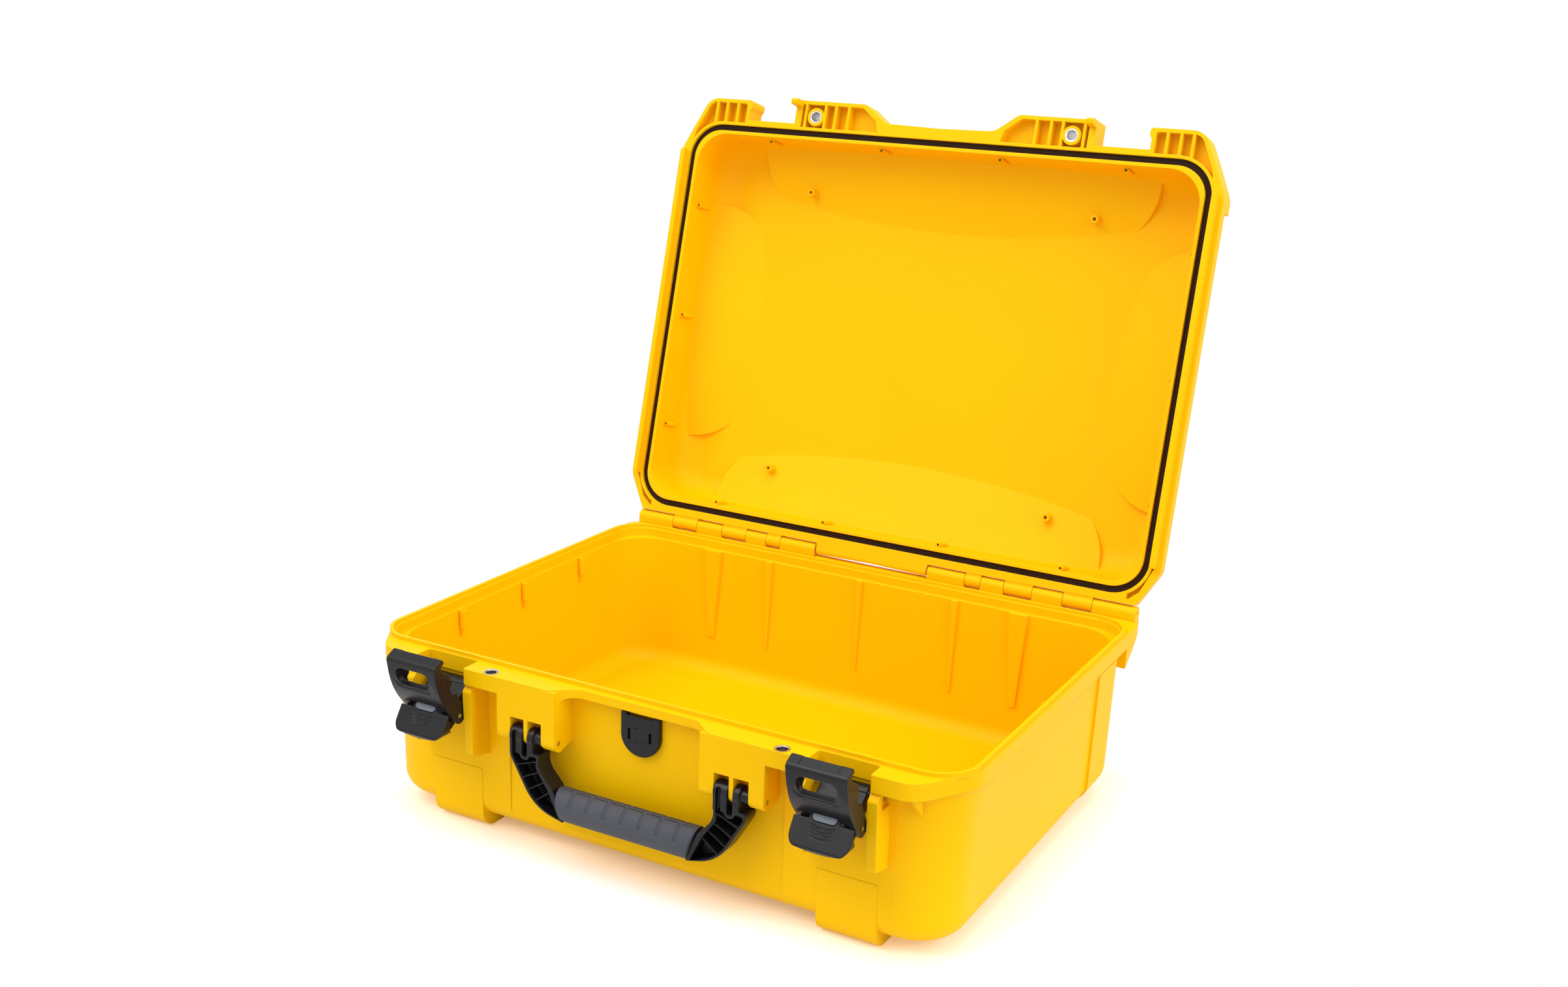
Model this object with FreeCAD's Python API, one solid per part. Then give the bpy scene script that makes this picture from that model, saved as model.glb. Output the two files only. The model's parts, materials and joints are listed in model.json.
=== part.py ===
import FreeCAD, Part
import math
import os
from FreeCAD import Vector

# Overall sizes of the clear space and the moulded walls, in millimetres
inner_length = 458.0
inner_width = 328.0
base_depth = 124.0
lid_depth = 52.0
wall = 3.6
floor_plate = 4.0
foot_height = 9.0
draft_deg = 1.3
rim_corner = 22.0
wall_corner = 36.0
lid_corner = 28.0
bottom_round = 16.0
lid_round = 22.0

# Rim: a tongue on the base presses the gasket in the lid's groove
lip_width = 3.0
gasket_width = 5.2
gasket_height = 3.6
gasket_rib = 0.5
gasket_clear = 0.1
gasket_lift = 0.4
tongue_width = 2.6
tongue_height = 3.0
rim_gap = 0.5
groove_wall = 2.6

# Flange of the base
flange_thick = 12.0
flange_side = 9.0
panel_step = 10.0
panel_ledge = 2.6
flange_front = 26.0
flange_centre = 12.0
flange_middle = 6.5
middle_round = 5.0
flange_rear = 14.5
front_skin = 3.4
recess_half = 112.0

# Flange, blocks and skirts of the lid
lid_flange = 10.0
lid_side = 18.0
lid_front_block = 34.0
lid_corner_block = 31.0
lid_centre = 18.0
lid_rear = 15.0
block_height = 22.0
block_wall = 3.2
pocket_depth = 9.5
block_rib = 2.4
skirt_start = 9.9
skirt_width = 4.2
skirt_depth = 7.5
ledge_thick = 3.5
ledge_reach = 13.5
roof_wall = 0.9
roof_thick = 2.0
finger_depth = 14.0
finger_width = 6.0

# Scooped sides of the lid's top
scoop_rise = 18.0
scoop_run = 62.0
scoop_radius_long = 800.0
scoop_radius_short = 247.0
scoop_end_long = 45.0
scoop_end_short = 56.0
scoop_end_round = 60.0

# Screw bosses and posts
boss_radius = 2.5
boss_bore = 1.2
boss_set = 4.0
boss_drop = 8.0
ledge_boss_drop = 10.5
boss_height = 15.0
boss_depth = 10.0
lid_boss_radius = 2.1
lid_boss_set = 2.2
lid_boss_long = (54.5, 162.5)
lid_boss_short = (-100.0, 0.0, 100.0)
base_boss_short = (-80.0, 0.0, 80.0)
post_x = 132.5
post_y = 125.0
post_radius = 3.6
post_height = 12.0
post_bore = 1.5
back_ribs = ((0.0, 5.0, 1.4), (87.0, 6.0, 1.6), (-87.0, 6.0, 1.6), (143.0, 16.0, 2.0), (-143.0, 16.0, 2.0))

# Hinge
hinge_back = 21.0
hinge_lift = 2.0
hinge_open_deg = 104.2
hinge_start = 67.0
hinge_block = 14.0
knuckle_widths = (20.0, 14.0, 20.5, 24.5, 26.0, 25.0)
knuckle_radius = 5.5
knuckle_gap = 0.4
hinge_pin_radius = 1.6
pin_tight = 0.02
pin_run = 0.06
hinge_end_gap = 1.0
hinge_bracket_top = 5.0
hinge_bracket_low = 26.0

# Latches
latch_from_end = 70.0
latch_half = 21.4
column_gap = 0.7
latch_side_gap = 1.2
column_thick = 7.0
column_front = 27.0
column_step = 4.5
column_low = 69.0
latch_pivot_back = 11.07
latch_pivot_low = 22.9
claw_pin_back = 29.0
claw_pin_low = 38.0
claw_lean_deg = 26.0
latch_pin_radius = 2.0
claw_pin_radius = 1.6
claw_plate = 7.1
claw_side = 4.4
claw_side_gap = 0.5
lever_hub = 5.5
hub_clear = 0.8
claw_hub = 6.0
claw_front = 11.8
claw_bow = 60.0
claw_sunk = 9.1
claw_height = 51.5
claw_lip = 4.2
claw_relief = 12.6
line_bow = 14.0
line_depth = 0.5
button_half = 8.6
button_height = 6.4
button_proud = 0.9
button_sunk = 2.2
button_travel = 2.0
button_clear = 0.35
spring_radius = 2.2
spring_wire = 0.5
spring_seat = 8.0

# Padlock eyelets
eyelet_from_latch = 42.5
eyelet_reach = 20.3
eyelet_outer = 5.4
eyelet_bore = 3.8
eyelet_fit = 0.02

# Carrying handle
handle_from_latch = 76.25
handle_pin_reach = 20.5
handle_pin_low = 43.0
handle_pin_radius = 2.0
lug_width = 10.6
lug_gap = 0.5
middle_ear = 3.2
ear_width = 11.5
lug_radius = 7.4
lug_plate = 5.0
lug_boss = 5.2
lug_slot_width = 3.6
lug_slot_depth = 3.4
saddle_drop = 13.4
slot_rise = 13.5
ear_low = 7.5
arm_thick = 14.0
arm_top = 9.5
arm_skin = 2.2
arm_floor = 3.0
grip_drop = 44.0
grip_half_height = 12.2
grip_half_depth = 10.8
grip_inset_top = 26.0
grip_inset_low = 33.0
grip_core = 7.0
grip_fit = 0.05

# Pressure vent
vent_half = 15.6
vent_top = 11.8
vent_centre_low = 27.6
vent_thick = 4.3
vent_edge = 1.2
vent_horn = 4.6
vent_notch = 2.2
vent_arc = 5.7
vent_arc_width = 0.8
vent_slot_x = 8.5
vent_slot_width = 2.2
vent_slot_height = 7.8
vent_slot_depth = 2.6
vent_stem = 6.0
vent_bore = 3.5
vent_fit = 0.05
vent_nut_radius = 10.0
vent_nut_thick = 4.0
vent_seal_radius = 9.0
vent_seal_height = 1.2
membrane_radius = 7.0
membrane_thick = 0.6

# Values worked out from the sizes above
half_x = inner_length / 2
half_y = inner_width / 2
draft = math.tan(math.radians(draft_deg))
base_floor = foot_height + floor_plate
rim_z = base_floor + base_depth
flange_z = rim_z - tongue_height
lid_face = flange_z + rim_gap
lid_floor = rim_z + lid_depth
lid_top = lid_floor + floor_plate
groove_inner = lip_width
groove_outer = lip_width + gasket_width + 2 * gasket_clear
groove_top = rim_z + gasket_lift + gasket_height
wall_front = half_y + wall + front_skin
hinge_y = half_y + hinge_back
hinge_z = rim_z + hinge_lift
hinge_end = half_x + 4.0
latch_x = half_x - latch_from_end
column_in = latch_half + column_gap
eyelet_x = latch_x - eyelet_from_latch
eyelet_y = -(half_y + eyelet_reach)
handle_x = latch_x - handle_from_latch
handle_pin_y = -(half_y + handle_pin_reach)
handle_pin_z = rim_z - handle_pin_low
latch_pivot_y = -(half_y + latch_pivot_back)
latch_pivot_z = rim_z - latch_pivot_low
claw_pin_y = -(half_y + claw_pin_back)
claw_pin_z = rim_z - claw_pin_low
recess_wall = half_y + wall + 0.4
X = Vector(1, 0, 0)
Y = Vector(0, 1, 0)
Z = Vector(0, 0, 1)
ORIGIN = Vector(0, 0, 0)


def outline(points, place):
    """Closed wire through (u, v, radius) corners, each rounded by its radius."""
    corners = [Vector(p[0], p[1], 0) for p in points]
    radii = [p[2] if len(p) > 2 else 0.0 for p in points]
    pieces = []
    for i, corner in enumerate(corners):
        before = (corners[i - 1] - corner).normalize()
        after = (corners[(i + 1) % len(corners)] - corner).normalize()
        if radii[i] == 0.0:
            pieces.append((corner, None, corner))
            continue
        half = before.getAngle(after) / 2
        reach = radii[i] / math.tan(half)
        inward = (before + after).normalize()
        centre = corner + inward * (radii[i] / math.sin(half))
        pieces.append((corner + before * reach, centre - inward * radii[i], corner + after * reach))
    edges = []
    for i, (start, middle, end) in enumerate(pieces):
        last = pieces[i - 1][2]
        if (start - last).Length > 1e-6:
            edges.append(Part.LineSegment(place(last.x, last.y), place(start.x, start.y)).toShape())
        if middle is not None:
            arc = [place(p.x, p.y) for p in (start, middle, end)]
            edges.append(Part.Arc(*arc).toShape())
    return Part.Wire(edges)


def prism_x(points, x0, x1):
    """Outline of (y, z) corners drawn out along X."""
    wire = outline(points, lambda u, v: Vector(x0, u, v))
    return Part.Face(wire).extrude(X * (x1 - x0))


def prism_y(points, y0, y1):
    """Outline of (x, z) corners drawn out along Y."""
    wire = outline(points, lambda u, v: Vector(u, y0, v))
    return Part.Face(wire).extrude(Y * (y1 - y0))


def prism_z(points, z0, z1):
    """Outline of (x, y) corners drawn out along Z."""
    wire = outline(points, lambda u, v: Vector(u, v, z0))
    return Part.Face(wire).extrude(Z * (z1 - z0))


def symmetric(points):
    """Outline given on the right from front to rear, with its mirror on the left."""
    left = [(-p[0],) + tuple(p[1:]) for p in reversed(points) if p[0] > 0.0]
    return points + left


def ring_wire(offset, z, corner=None, extra=0.0):
    """Rounded rectangle round the clear space at an offset, with extra at front and back."""
    hx = half_x + offset
    hy = half_y + offset + extra
    r = rim_corner + offset if corner is None else corner
    corners = [(hx, -hy, r), (hx, hy, r), (-hx, hy, r), (-hx, -hy, r)]
    return outline(corners, lambda u, v: Vector(u, v, z))


def slab(offset, z0, z1):
    """Upright block with the plan of a ring at an offset."""
    return Part.Face(ring_wire(offset, z0)).extrude(Z * (z1 - z0))


def ring(inside, outside, z0, z1):
    """Upright band between two offsets."""
    return slab(outside, z0, z1).cut(slab(inside, z0, z1))


def tub(offset, z_wide, z_narrow, corner, extra=0.0):
    """Drafted block, widest at z_wide, with round conical corners."""
    shrink = draft * abs(z_wide - z_narrow)
    wide = ring_wire(offset, z_wide, corner + offset, extra)
    narrow = ring_wire(offset - shrink, z_narrow, corner + offset - shrink, extra)
    return Part.makeLoft([wide, narrow], True, True)


def round_level(shape, z, radius):
    """Round every edge that lies wholly at one height."""
    edges = [e for e in shape.Edges if all(abs(v.Z - z) < 1e-4 for v in e.Vertexes)]
    return shape.makeFillet(radius, edges)


def box(x0, x1, y0, y1, z0, z1):
    """Plain block between two corners."""
    return Part.makeBox(x1 - x0, y1 - y0, z1 - z0, Vector(x0, y0, z0))


def rod(radius, x0, x1, y, z):
    """Round bar along X."""
    return Part.makeCylinder(radius, x1 - x0, Vector(x0, y, z), X)


def post(radius, x, y, z0, z1):
    """Round bar along Z."""
    return Part.makeCylinder(radius, z1 - z0, Vector(x, y, z0), Z)


def mirrored(shape):
    """The same shape on the other side of the case."""
    return shape.mirror(ORIGIN, X)


def both(shape):
    """A shape and its mirror."""
    return [shape, mirrored(shape)]


def joined(shapes):
    """One solid from overlapping shapes."""
    return shapes[0].multiFuse(shapes[1:]).removeSplitter()


def cut_all(shape, tools):
    """A shape with several tools taken away."""
    return shape.cut(tools)


def tilted(shape, y, z, angle_deg):
    """A shape turned about an axis along X."""
    copy = shape.copy()
    copy.rotate(Vector(0, y, z), X, angle_deg)
    return copy


def opened(shape):
    """A lid piece, drawn closed, turned back to the open rest pose."""
    return tilted(shape, hinge_y, hinge_z, -hinge_open_deg)


def knuckle_spans():
    """Spans along X of the hinge's knuckles, from the middle outwards."""
    edges = [hinge_start]
    for width in knuckle_widths:
        edges.append(edges[-1] + width)
    edges.append(hinge_end)
    spans = list(zip(edges[:-1], edges[1:]))
    return spans[0::2], spans[1::2]


def base_flange_outline():
    """Plan of the base's flange, right half from front to rear."""
    front = -(half_y + flange_front)
    corner = front + 2.0
    recess = -(half_y + 8.5)
    centre = -(half_y + flange_centre)
    inner = latch_x - column_in
    outer = latch_x + column_in
    block = handle_x - lug_width - middle_ear / 2 - ear_width + 5.0
    side = half_x + flange_side
    rear = half_y + flange_rear
    middle = hinge_start - 15.0
    return [
        (0.0, centre),
        (block - 16.0, centre, 10.0),
        (block, front, 8.0),
        (inner, front, 1.0),
        (inner, recess, 3.0),
        (outer, recess, 3.0),
        (outer, corner, 1.0),
        (half_x - 18.0, corner, 18.0),
        (side, -(half_y - 18.0), 34.0),
        (side, half_y + 7.0, 6.0),
        (hinge_end, rear, 3.0),
        (middle, rear, 1.0),
        (middle, hinge_y + 1.5, 1.0),
        (0.0, hinge_y + 1.5),
    ]


def latch_column(x0, x1):
    """Upright wall beside a latch, with a step that stands forward low down."""
    front = -(half_y + column_front)
    top = front + column_step
    points = [
        (-(half_y + 1.0), flange_z - 1.0),
        (top, flange_z - 1.0),
        (top, rim_z - 16.0, 2.0),
        (front, rim_z - 20.0, 2.0),
        (front + 2.5, rim_z - column_low, 3.0),
        (-(half_y - 1.0), rim_z - column_low - 6.0),
    ]
    return prism_x(points, x0, x1)


def bracket_inner():
    """Distance of a handle bracket's inner side from the middle."""
    return handle_x - middle_ear / 2 - lug_width - 2 * lug_gap - ear_width


def handle_bracket():
    """Right handle bracket with three ears and two slots that open downwards."""
    inner = bracket_inner()
    outer = handle_x + middle_ear / 2 + lug_width + 2 * lug_gap + ear_width
    front = -(half_y + flange_front)
    points = [
        (-(half_y + 1.0), flange_z - 1.0),
        (front, flange_z - 1.0),
        (front, handle_pin_z - 2.0, 5.0),
        (handle_pin_y, handle_pin_z - ear_low, 6.0),
        (-(half_y + 1.0), handle_pin_z - ear_low + 6.0),
    ]
    block = prism_x(points, inner, outer)
    slots = []
    for side in (-1, 1):
        near = handle_x + side * middle_ear / 2
        far = near + side * (lug_width + 2 * lug_gap)
        low, high = min(near, far), max(near, far)
        z0 = handle_pin_z - 30.0
        slots.append(box(low, high, front - 1.0, -recess_wall, z0, handle_pin_z + slot_rise))
    return block.cut(slots)


def hinge_bracket():
    """Right rear bracket under the hinge, with the base's knuckles."""
    back = hinge_y + knuckle_radius
    top = rim_z - hinge_bracket_top
    low = rim_z - hinge_bracket_low
    points = [
        (half_y + 1.0, top),
        (back, top, 2.0),
        (back, low + 8.0, 6.0),
        (hinge_y - 3.0, low, 3.0),
        (half_y + 1.0, low - 12.0),
    ]
    shapes = [prism_x(points, hinge_start - hinge_block, hinge_end)]
    base_spans = knuckle_spans()[0]
    neck = [
        (hinge_y - knuckle_radius, top - 1.0),
        (hinge_y + knuckle_radius, top - 1.0),
        (hinge_y + knuckle_radius, hinge_z),
        (hinge_y - knuckle_radius, hinge_z),
    ]
    base_spans[0] = (hinge_start - hinge_block, base_spans[0][1])
    for x0, x1 in base_spans:
        shapes.append(prism_x(neck, x0 + knuckle_gap / 2, x1 - knuckle_gap / 2))
        shapes.append(rod(knuckle_radius, x0 + knuckle_gap / 2, x1 - knuckle_gap / 2, hinge_y, hinge_z))
    return joined(shapes)


def front_foot():
    """Right front foot: the wall runs straight down past the raised bottom."""
    face = -(wall_front - 2.4)
    points = [
        (face - 0.8, foot_height + 40.0),
        (face + 0.4, 0.0, 14.0),
        (-(half_y - 54.0), 0.0, 3.0),
        (-(half_y - 58.0), base_floor - 1.0),
        (-(half_y - 14.0), base_floor - 1.0),
        (-(half_y - 4.0), foot_height + 40.0),
    ]
    return prism_x(points, latch_x - 21.5, latch_x + 23.0)


def rear_foot():
    """Right rear foot, the front foot's mirror across the case."""
    return front_foot().mirror(ORIGIN, Y)


def rear_panel():
    """Low step that wraps the rear of the base."""
    top = flange_z - flange_thick - 6.0
    panel = tub(wall + 1.6, top, foot_height + 1.0, wall_corner, front_skin)
    panel = round_level(panel, foot_height + 1.0, bottom_round)
    keep = box(-half_x - 40.0, half_x + 40.0, half_y - 66.0, half_y + 40.0, 0.0, top + 1.0)
    return panel.common(keep)


def gusset():
    """Right-hand gusset under the flange beside the outer latch column."""
    top = flange_z - flange_thick + 1.0
    face = -(wall_front - 1.5)
    x = latch_x + column_in + column_thick + 19.0
    return prism_x([(face, top), (-(half_y + flange_front - 4.0), top), (face, top - 18.0)], x, x + 2.6)


def vent_shield(y0, y1):
    """Flat-topped shield outline of the vent, drawn out along Y."""
    low = rim_z - vent_centre_low - vent_half
    top = rim_z - vent_top
    points = [
        (-vent_half, top, 1.5),
        (vent_half, top, 1.5),
        (vent_half, low, vent_half * 0.98),
        (-vent_half, low, vent_half * 0.98),
    ]
    return prism_y(points, y0, y1)


def middle_relief():
    """Space under the thinner stretch of flange between the handle brackets."""
    side = bracket_inner()
    low = flange_z - flange_thick - 1.0
    high = flange_z - flange_middle
    points = [(-side, low), (side, low), (side, high, middle_round), (-side, high, middle_round)]
    return prism_y(points, -(half_y + flange_front + 1.0), -recess_wall)


def base_shell():
    """The moulded base with everything that is one piece with it."""
    body = tub(wall, flange_z - 1.0, foot_height, wall_corner, front_skin)
    body = round_level(body, foot_height, bottom_round)
    flange = prism_z(symmetric(base_flange_outline()), flange_z - flange_thick, flange_z)
    low = ring_wire(wall - 0.6, flange_z - 22.0, wall_corner + wall - 0.6)
    reach = flange_side - 1.0
    high = ring_wire(reach, flange_z - flange_thick + 1.0, wall_corner + reach)
    under = Part.makeLoft([low, high], True, True)
    shapes = [body, flange, under, rear_panel()]
    for x0 in (latch_x - column_in - column_thick, latch_x + column_in):
        shapes += both(latch_column(x0, x0 + column_thick))
    for piece in (handle_bracket(), hinge_bracket(), front_foot(), rear_foot(), gusset()):
        shapes += both(piece)
    shapes.append(ring(groove_inner + 1.4, groove_inner + 1.4 + tongue_width, flange_z - 1.0, rim_z))
    shell = joined(shapes)

    cavity = tub(0.0, rim_z + 1.0, base_floor, wall_corner)
    cavity = round_level(cavity, base_floor, bottom_round - 2.0)
    recess = prism_y(
        [
            (-recess_half, base_floor + 2.0, 10.0),
            (recess_half, base_floor + 2.0, 10.0),
            (recess_half, flange_z - flange_thick, 4.0),
            (-recess_half, flange_z - flange_thick, 4.0),
        ],
        -(wall_front + 6.0),
        -recess_wall,
    )
    ledge = slab(panel_ledge, rim_z - panel_step, rim_z + 1.0)
    tools = [cavity, ledge, recess.cut(both(handle_bracket())), middle_relief()]
    tools += base_bores()
    shell = cut_all(shell, tools)
    extras = base_bosses() + back_wall_ribs()
    return joined([shell] + extras)


def base_bores():
    """Holes and windows of the base."""
    tools = []
    eye = post(eyelet_outer + eyelet_fit, eyelet_x, eyelet_y, flange_z - flange_thick - 1.0, flange_z + 1.0)
    span = column_in + column_thick
    low = latch_x - span
    high = latch_x + span
    pivot = rod(latch_pin_radius + pin_tight, low + 1.5, high - 1.5, latch_pivot_y, latch_pivot_z)
    hub = rod(lever_hub + hub_clear, latch_x - column_in, latch_x + column_in, latch_pivot_y, latch_pivot_z)
    front = latch_pivot_y - 8.0
    window = box(high - 2.6, high + 0.1, front, front + 11.0, latch_pivot_z - 5.0, latch_pivot_z + 7.9)
    reach = middle_ear / 2 + lug_width + 2 * lug_gap + ear_width + 1.0
    swing_radius = handle_pin_radius + pin_tight
    swing = rod(swing_radius, handle_x - reach, handle_x + reach, handle_pin_y, handle_pin_z)
    hinge = rod(hinge_pin_radius + pin_tight, hinge_start, hinge_end + 1.0, hinge_y, hinge_z)
    for tool in (eye, pivot, hub, window, swing, hinge):
        tools += both(tool)
    start = Vector(0, -recess_wall - 5.0, rim_z - vent_centre_low)
    tools.append(Part.makeCylinder(vent_stem + vent_fit, 30.0, start, Y))
    return tools


def base_bosses():
    """Panel screw bosses on the base's end walls."""
    shapes = []
    top = rim_z - ledge_boss_drop
    x = half_x - boss_set + 1.0
    for y in base_boss_short:
        boss = post(boss_radius, x, y, top - boss_height, top)
        web = box(x, half_x + 0.8, y - 1.4, y + 1.4, top - boss_height - 6.0, top)
        bore = post(boss_bore, x, y, top - boss_depth, top + 1.0)
        shapes += both(joined([boss, web]).cut(bore))
    return shapes


def back_wall_ribs():
    """Slim upright ribs inside the back wall that fade out downwards."""
    shapes = []
    top = rim_z - panel_step
    low = base_floor + 34.0
    for x, width, depth in back_ribs:
        wide = width * 0.5
        slim = width * 0.18
        points = [(x - wide, top), (x + wide, top), (x + slim, low), (x - slim, low)]
        slope = draft * (rim_z - low)
        rib = prism_y(points, half_y - slope - depth, half_y + 1.2)
        shapes.append(rib)
    return shapes


def lid_flange_outline():
    """Plan of the lid's flange, right half from front to rear."""
    block = -(half_y + lid_front_block)
    corner = -(half_y + lid_corner_block)
    back = -(half_y + wall + 2.0)
    centre = -(half_y + lid_centre)
    side = half_x + lid_side
    rear = half_y + lid_rear
    middle = hinge_start - hinge_block - 0.8
    near = latch_x - latch_half - latch_side_gap
    far = latch_x + latch_half + latch_side_gap
    return [
        (0.0, centre),
        (handle_x - 33.0, centre - 1.0, 14.0),
        (handle_x - 13.0, block, 8.0),
        (near, block, 1.2),
        (near, back, 1.0),
        (far + 1.0, back, 1.0),
        (far + 1.0, corner + 9.0, 2.0),
        (far - 1.0, corner + 6.0, 2.0),
        (far - 1.0, corner, 3.0),
        (half_x - 5.0, corner, 14.0),
        (half_x + 9.0, -(half_y + 2.0), 30.0),
        (side, -(half_y - 18.0), 20.0),
        (side, half_y - 14.0, 10.0),
        (half_x + 6.0, half_y + 8.0, 10.0),
        (half_x + 2.0, rear, 2.0),
        (middle, rear, 1.0),
        (middle - 1.0, hinge_y + 4.0, 2.0),
        (0.0, hinge_y + 2.6),
    ]


def lid_finger():
    """Right-hand finger beside the latch that hangs in front of the base's column."""
    block = -(half_y + lid_front_block)
    near = latch_x - latch_half - latch_side_gap
    z1 = lid_face + 3.0
    z0 = lid_face - finger_depth
    points = [
        (block + 0.5, z1),
        (block + 0.5, z0 + 1.5, 2.0),
        (block + 5.6, z0 + 3.5, 1.5),
        (block + 6.4, z1),
    ]
    return prism_x(points, near - finger_width, near)


def block_pockets():
    """Ribbed pockets that open on the parting face of the right-hand blocks."""
    z0 = lid_face - 1.0
    z1 = lid_face + pocket_depth
    guard = slab(groove_outer + groove_wall, z0 - 1.0, z1 + 1.0)
    block = -(half_y + lid_front_block) + block_wall
    near = latch_x - latch_half - latch_side_gap - finger_width
    inner = prism_z(
        [
            (handle_x - 10.5, block, 4.0),
            (near, block, 2.0),
            (near, -(half_y + 8.0)),
            (handle_x - 28.0, -(half_y + 8.0)),
            (handle_x - 24.0, -(half_y + 20.0), 3.0),
        ],
        z0,
        z1,
    )
    ribs = [post(eyelet_outer + 2.4, eyelet_x, eyelet_y, z0, z1)]
    for x in (handle_x + 1.5, handle_x + 14.0, handle_x + 24.0, eyelet_x + 9.0):
        ribs.append(box(x, x + block_rib, -(half_y + 60.0), -half_y, z0, z1))
    inner = inner.cut([guard] + ribs)
    corner = -(half_y + lid_corner_block) + block_wall
    far = latch_x + latch_half + latch_side_gap + 1.0 + block_wall
    outer = prism_z(
        [
            (far, corner, 2.0),
            (half_x - 7.0, corner, 9.0),
            (half_x + 6.5, -(half_y - 1.0), 20.0),
            (half_x + 6.5, -(half_y - 12.0)),
            (far, -(half_y - 12.0)),
        ],
        z0,
        z1,
    )
    ribs = []
    for x in (far + 8.0, far + 19.0, far + 29.0):
        ribs.append(box(x, x + block_rib, -(half_y + 60.0), -(half_y - 20.0), z0, z1))
    outer = outer.cut([guard] + ribs)
    rear = prism_z(
        [
            (half_x + lid_side - 6.0, half_y - 16.0, 1.0),
            (half_x + 3.5, half_y + 4.0, 1.0),
            (half_x - 6.0, half_y + lid_rear - 3.0, 1.0),
            (half_x - 6.0, half_y - 30.0),
        ],
        z0,
        lid_face + lid_flange - block_wall,
    ).cut(guard)
    return [inner, outer, rear]


def scoop(direction, long_side, deeper):
    """Lens-shaped scoop along one side of the lid's top, as a leaning cone."""
    slope = scoop_run / scoop_rise
    radius = scoop_radius_long if long_side else scoop_radius_short
    shift = wall * math.hypot(1.0, slope) if deeper else 0.0
    reach = (half_y if long_side else half_x) - scoop_run
    z0 = lid_floor - scoop_rise - 6.0
    z1 = lid_top + 2.0
    low = radius + (z0 - lid_floor) * slope - shift
    high = radius + (z1 - lid_floor) * slope - shift
    distance = direction * (reach + radius)
    centre = Vector(0, distance, z0) if long_side else Vector(distance, 0, z0)
    cone = Part.makeCone(low, high, z1 - z0, centre, Z)
    inset = wall if deeper else 0.0
    half = (half_x - scoop_end_long if long_side else half_y - scoop_end_short) - inset
    near = reach - 1.0
    far = reach + scoop_run + 40.0
    corners = [(-half, near, scoop_end_round), (half, near, scoop_end_round), (half, far), (-half, far)]
    if long_side:
        corners = [(u, direction * v) + tuple(r) for u, v, *r in corners]
    else:
        corners = [(direction * v, u) + tuple(r) for u, v, *r in corners]
    return cone.common(prism_z(corners, z0, z1))


def scoops(deeper):
    """The four scoops of the lid."""
    return [scoop(side, long_side, deeper) for side in (-1, 1) for long_side in (True, False)]


def lid_bosses():
    """Panel screw bosses round the lid's rim and posts on its floor."""
    low = rim_z + boss_drop
    high = low + boss_height
    shapes = []
    bores = []
    y = half_y - lid_boss_set
    x = half_x - lid_boss_set
    for side in (-1, 1):
        for along in lid_boss_long:
            for sx in (-1, 1):
                shapes.append(post(lid_boss_radius, sx * along, side * y, low, high))
                ends = sorted((side * y, side * (half_y + 0.8)))
                shapes.append(box(sx * along - 1.4, sx * along + 1.4, ends[0], ends[1], low, high + 6.0))
                bores.append(post(boss_bore, sx * along, side * y, low - 1.0, low + boss_depth))
        for along in lid_boss_short:
            shapes.append(post(lid_boss_radius, side * x, along, low, high))
            ends = sorted((side * x, side * (half_x + 0.8)))
            shapes.append(box(ends[0], ends[1], along - 1.4, along + 1.4, low, high + 6.0))
            bores.append(post(boss_bore, side * x, along, low - 1.0, low + boss_depth))
        for sy in (-1, 1):
            px = side * post_x
            py = sy * post_y
            shapes.append(post(post_radius, px, py, lid_floor - post_height, lid_floor + 1.0))
            bores.append(post(post_bore, px, py, lid_floor - post_height - 1.0, lid_floor - 3.0))
    return shapes, bores


def lid_knuckles():
    """Right-hand knuckles of the lid, with the arms that carry them."""
    arm = [
        (half_y + 8.0, lid_face + 0.3),
        (hinge_y - 1.0, lid_face + 0.3),
        (hinge_y, hinge_z + knuckle_radius - 0.2),
        (hinge_y - 5.0, lid_face + lid_flange + 2.0, 3.0),
        (half_y + 8.0, lid_face + lid_flange + 2.0),
    ]
    shapes = []
    for x0, x1 in knuckle_spans()[1]:
        shapes.append(prism_x(arm, x0 + knuckle_gap / 2, x1 - knuckle_gap / 2))
        shapes.append(rod(knuckle_radius, x0 + knuckle_gap / 2, x1 - knuckle_gap / 2, hinge_y, hinge_z))
    return joined(shapes)


def swing_relief():
    """What is trimmed off the lid's middle flange so that it turns clear of the base."""
    middle = hinge_start - hinge_block
    corner = box(-middle, middle, hinge_y - 1.0, hinge_y + 10.0, lid_face - 1.0, hinge_z)
    return corner.cut(rod(hinge_z - flange_z - 0.4, -middle, middle, hinge_y, hinge_z))


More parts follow.
